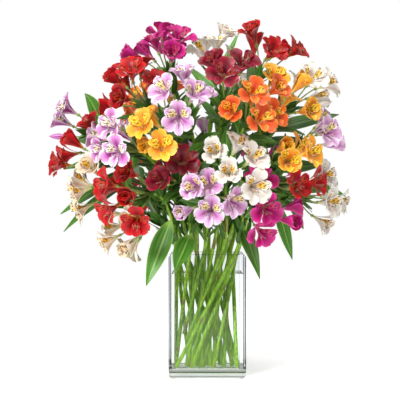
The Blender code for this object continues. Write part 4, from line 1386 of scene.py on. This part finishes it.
# %% The floor and the lights
NEAR_GLOW = 0.50
FAR_GLOW = 0.72
WALL_LIGHT = 0.42
ROOM_LIGHT = 0.12
let_go()
bpy.ops.mesh.primitive_plane_add(size=12.0, location=(0, 2.0, 0))
floor = bpy.context.object
floor.name = "studio_floor"
floor_paint, tree, shader = new_material("white_table", 0.9, 0.0)
shader.inputs["Base Color"].default_value = (0.92, 0.92, 0.92, 1.0)
shader.inputs["Emission Color"].default_value = (1.0, 1.0, 1.0, 1.0)
# the table glows less near the vase, so that its shadow shows, and more towards the wall
place = tree.nodes.new("ShaderNodeSeparateXYZ")
tree.links.new(add(tree, "ShaderNodeTexCoord", {}, out=3), place.inputs[0])
glow = add(tree, "ShaderNodeMapRange", {0: place.outputs[1], 1: -1.9, 2: -0.9, 3: NEAR_GLOW, 4: FAR_GLOW})
tree.links.new(glow, shader.inputs["Emission Strength"])
coloured(floor, floor_paint)

world = bpy.context.scene.world or bpy.data.worlds.new("studio")
bpy.context.scene.world = world
world.use_nodes = True
sky = world.node_tree
sky.nodes["Background"].inputs[0].default_value = (1.0, 1.0, 1.0, 1.0)
# the wall is white to the eye and through glass; the light it gives is softer, and the room
# on the side of the lamp is darker, so the glass has little to mirror and the depths stay deep
rays = sky.nodes.new("ShaderNodeLightPath")
lit = add(sky, "ShaderNodeMath", {0: rays.outputs["Is Diffuse Ray"], 1: rays.outputs["Is Glossy Ray"]}, operation="MAXIMUM")
towards = sky.nodes.new("ShaderNodeSeparateXYZ")
sky.links.new(add(sky, "ShaderNodeTexCoord", {}, out=0), towards.inputs[0])
room = add(sky, "ShaderNodeMapRange", {0: towards.outputs[1], 1: -0.5, 2: 0.7, 3: ROOM_LIGHT, 4: WALL_LIGHT})
strength = add(sky, "ShaderNodeMix", {0: lit, 2: 1.0, 3: room}, data_type="FLOAT")
sky.links.new(strength, sky.nodes["Background"].inputs[1])


def soft_light(name, place, aim, size, power):
    let_go()
    bpy.ops.object.light_add(type="AREA", location=place)
    lamp = bpy.context.object
    lamp.name = name
    lamp.data.size = size
    lamp.data.energy = power
    lamp.rotation_euler = (Vector(aim) - Vector(place)).to_track_quat("-Z", "Y").to_euler()
    return lamp


soft_light("key_light", (-1.0, -1.7, 1.6), (0, 0, 0.35), 0.8, 54)
soft_light("top_light", (0.6, -0.6, 2.1), (0, 0, 0.35), 1.2, 22)

# %% The camera
CAMERA_AWAY = 2.1
PICTURE_WIDTH = 0.652
let_go()
bpy.ops.object.camera_add(location=(-0.012, -CAMERA_AWAY, 0.292), rotation=(math.pi / 2, 0, 0))
camera = bpy.context.object
camera.data.sensor_width = 36.0
camera.data.lens = 36.0 * (CAMERA_AWAY - VASE_SIDE / 2) / PICTURE_WIDTH
camera.data.clip_end = 50.0
bpy.context.scene.camera = camera
bpy.context.scene.view_settings.view_transform = "Standard"
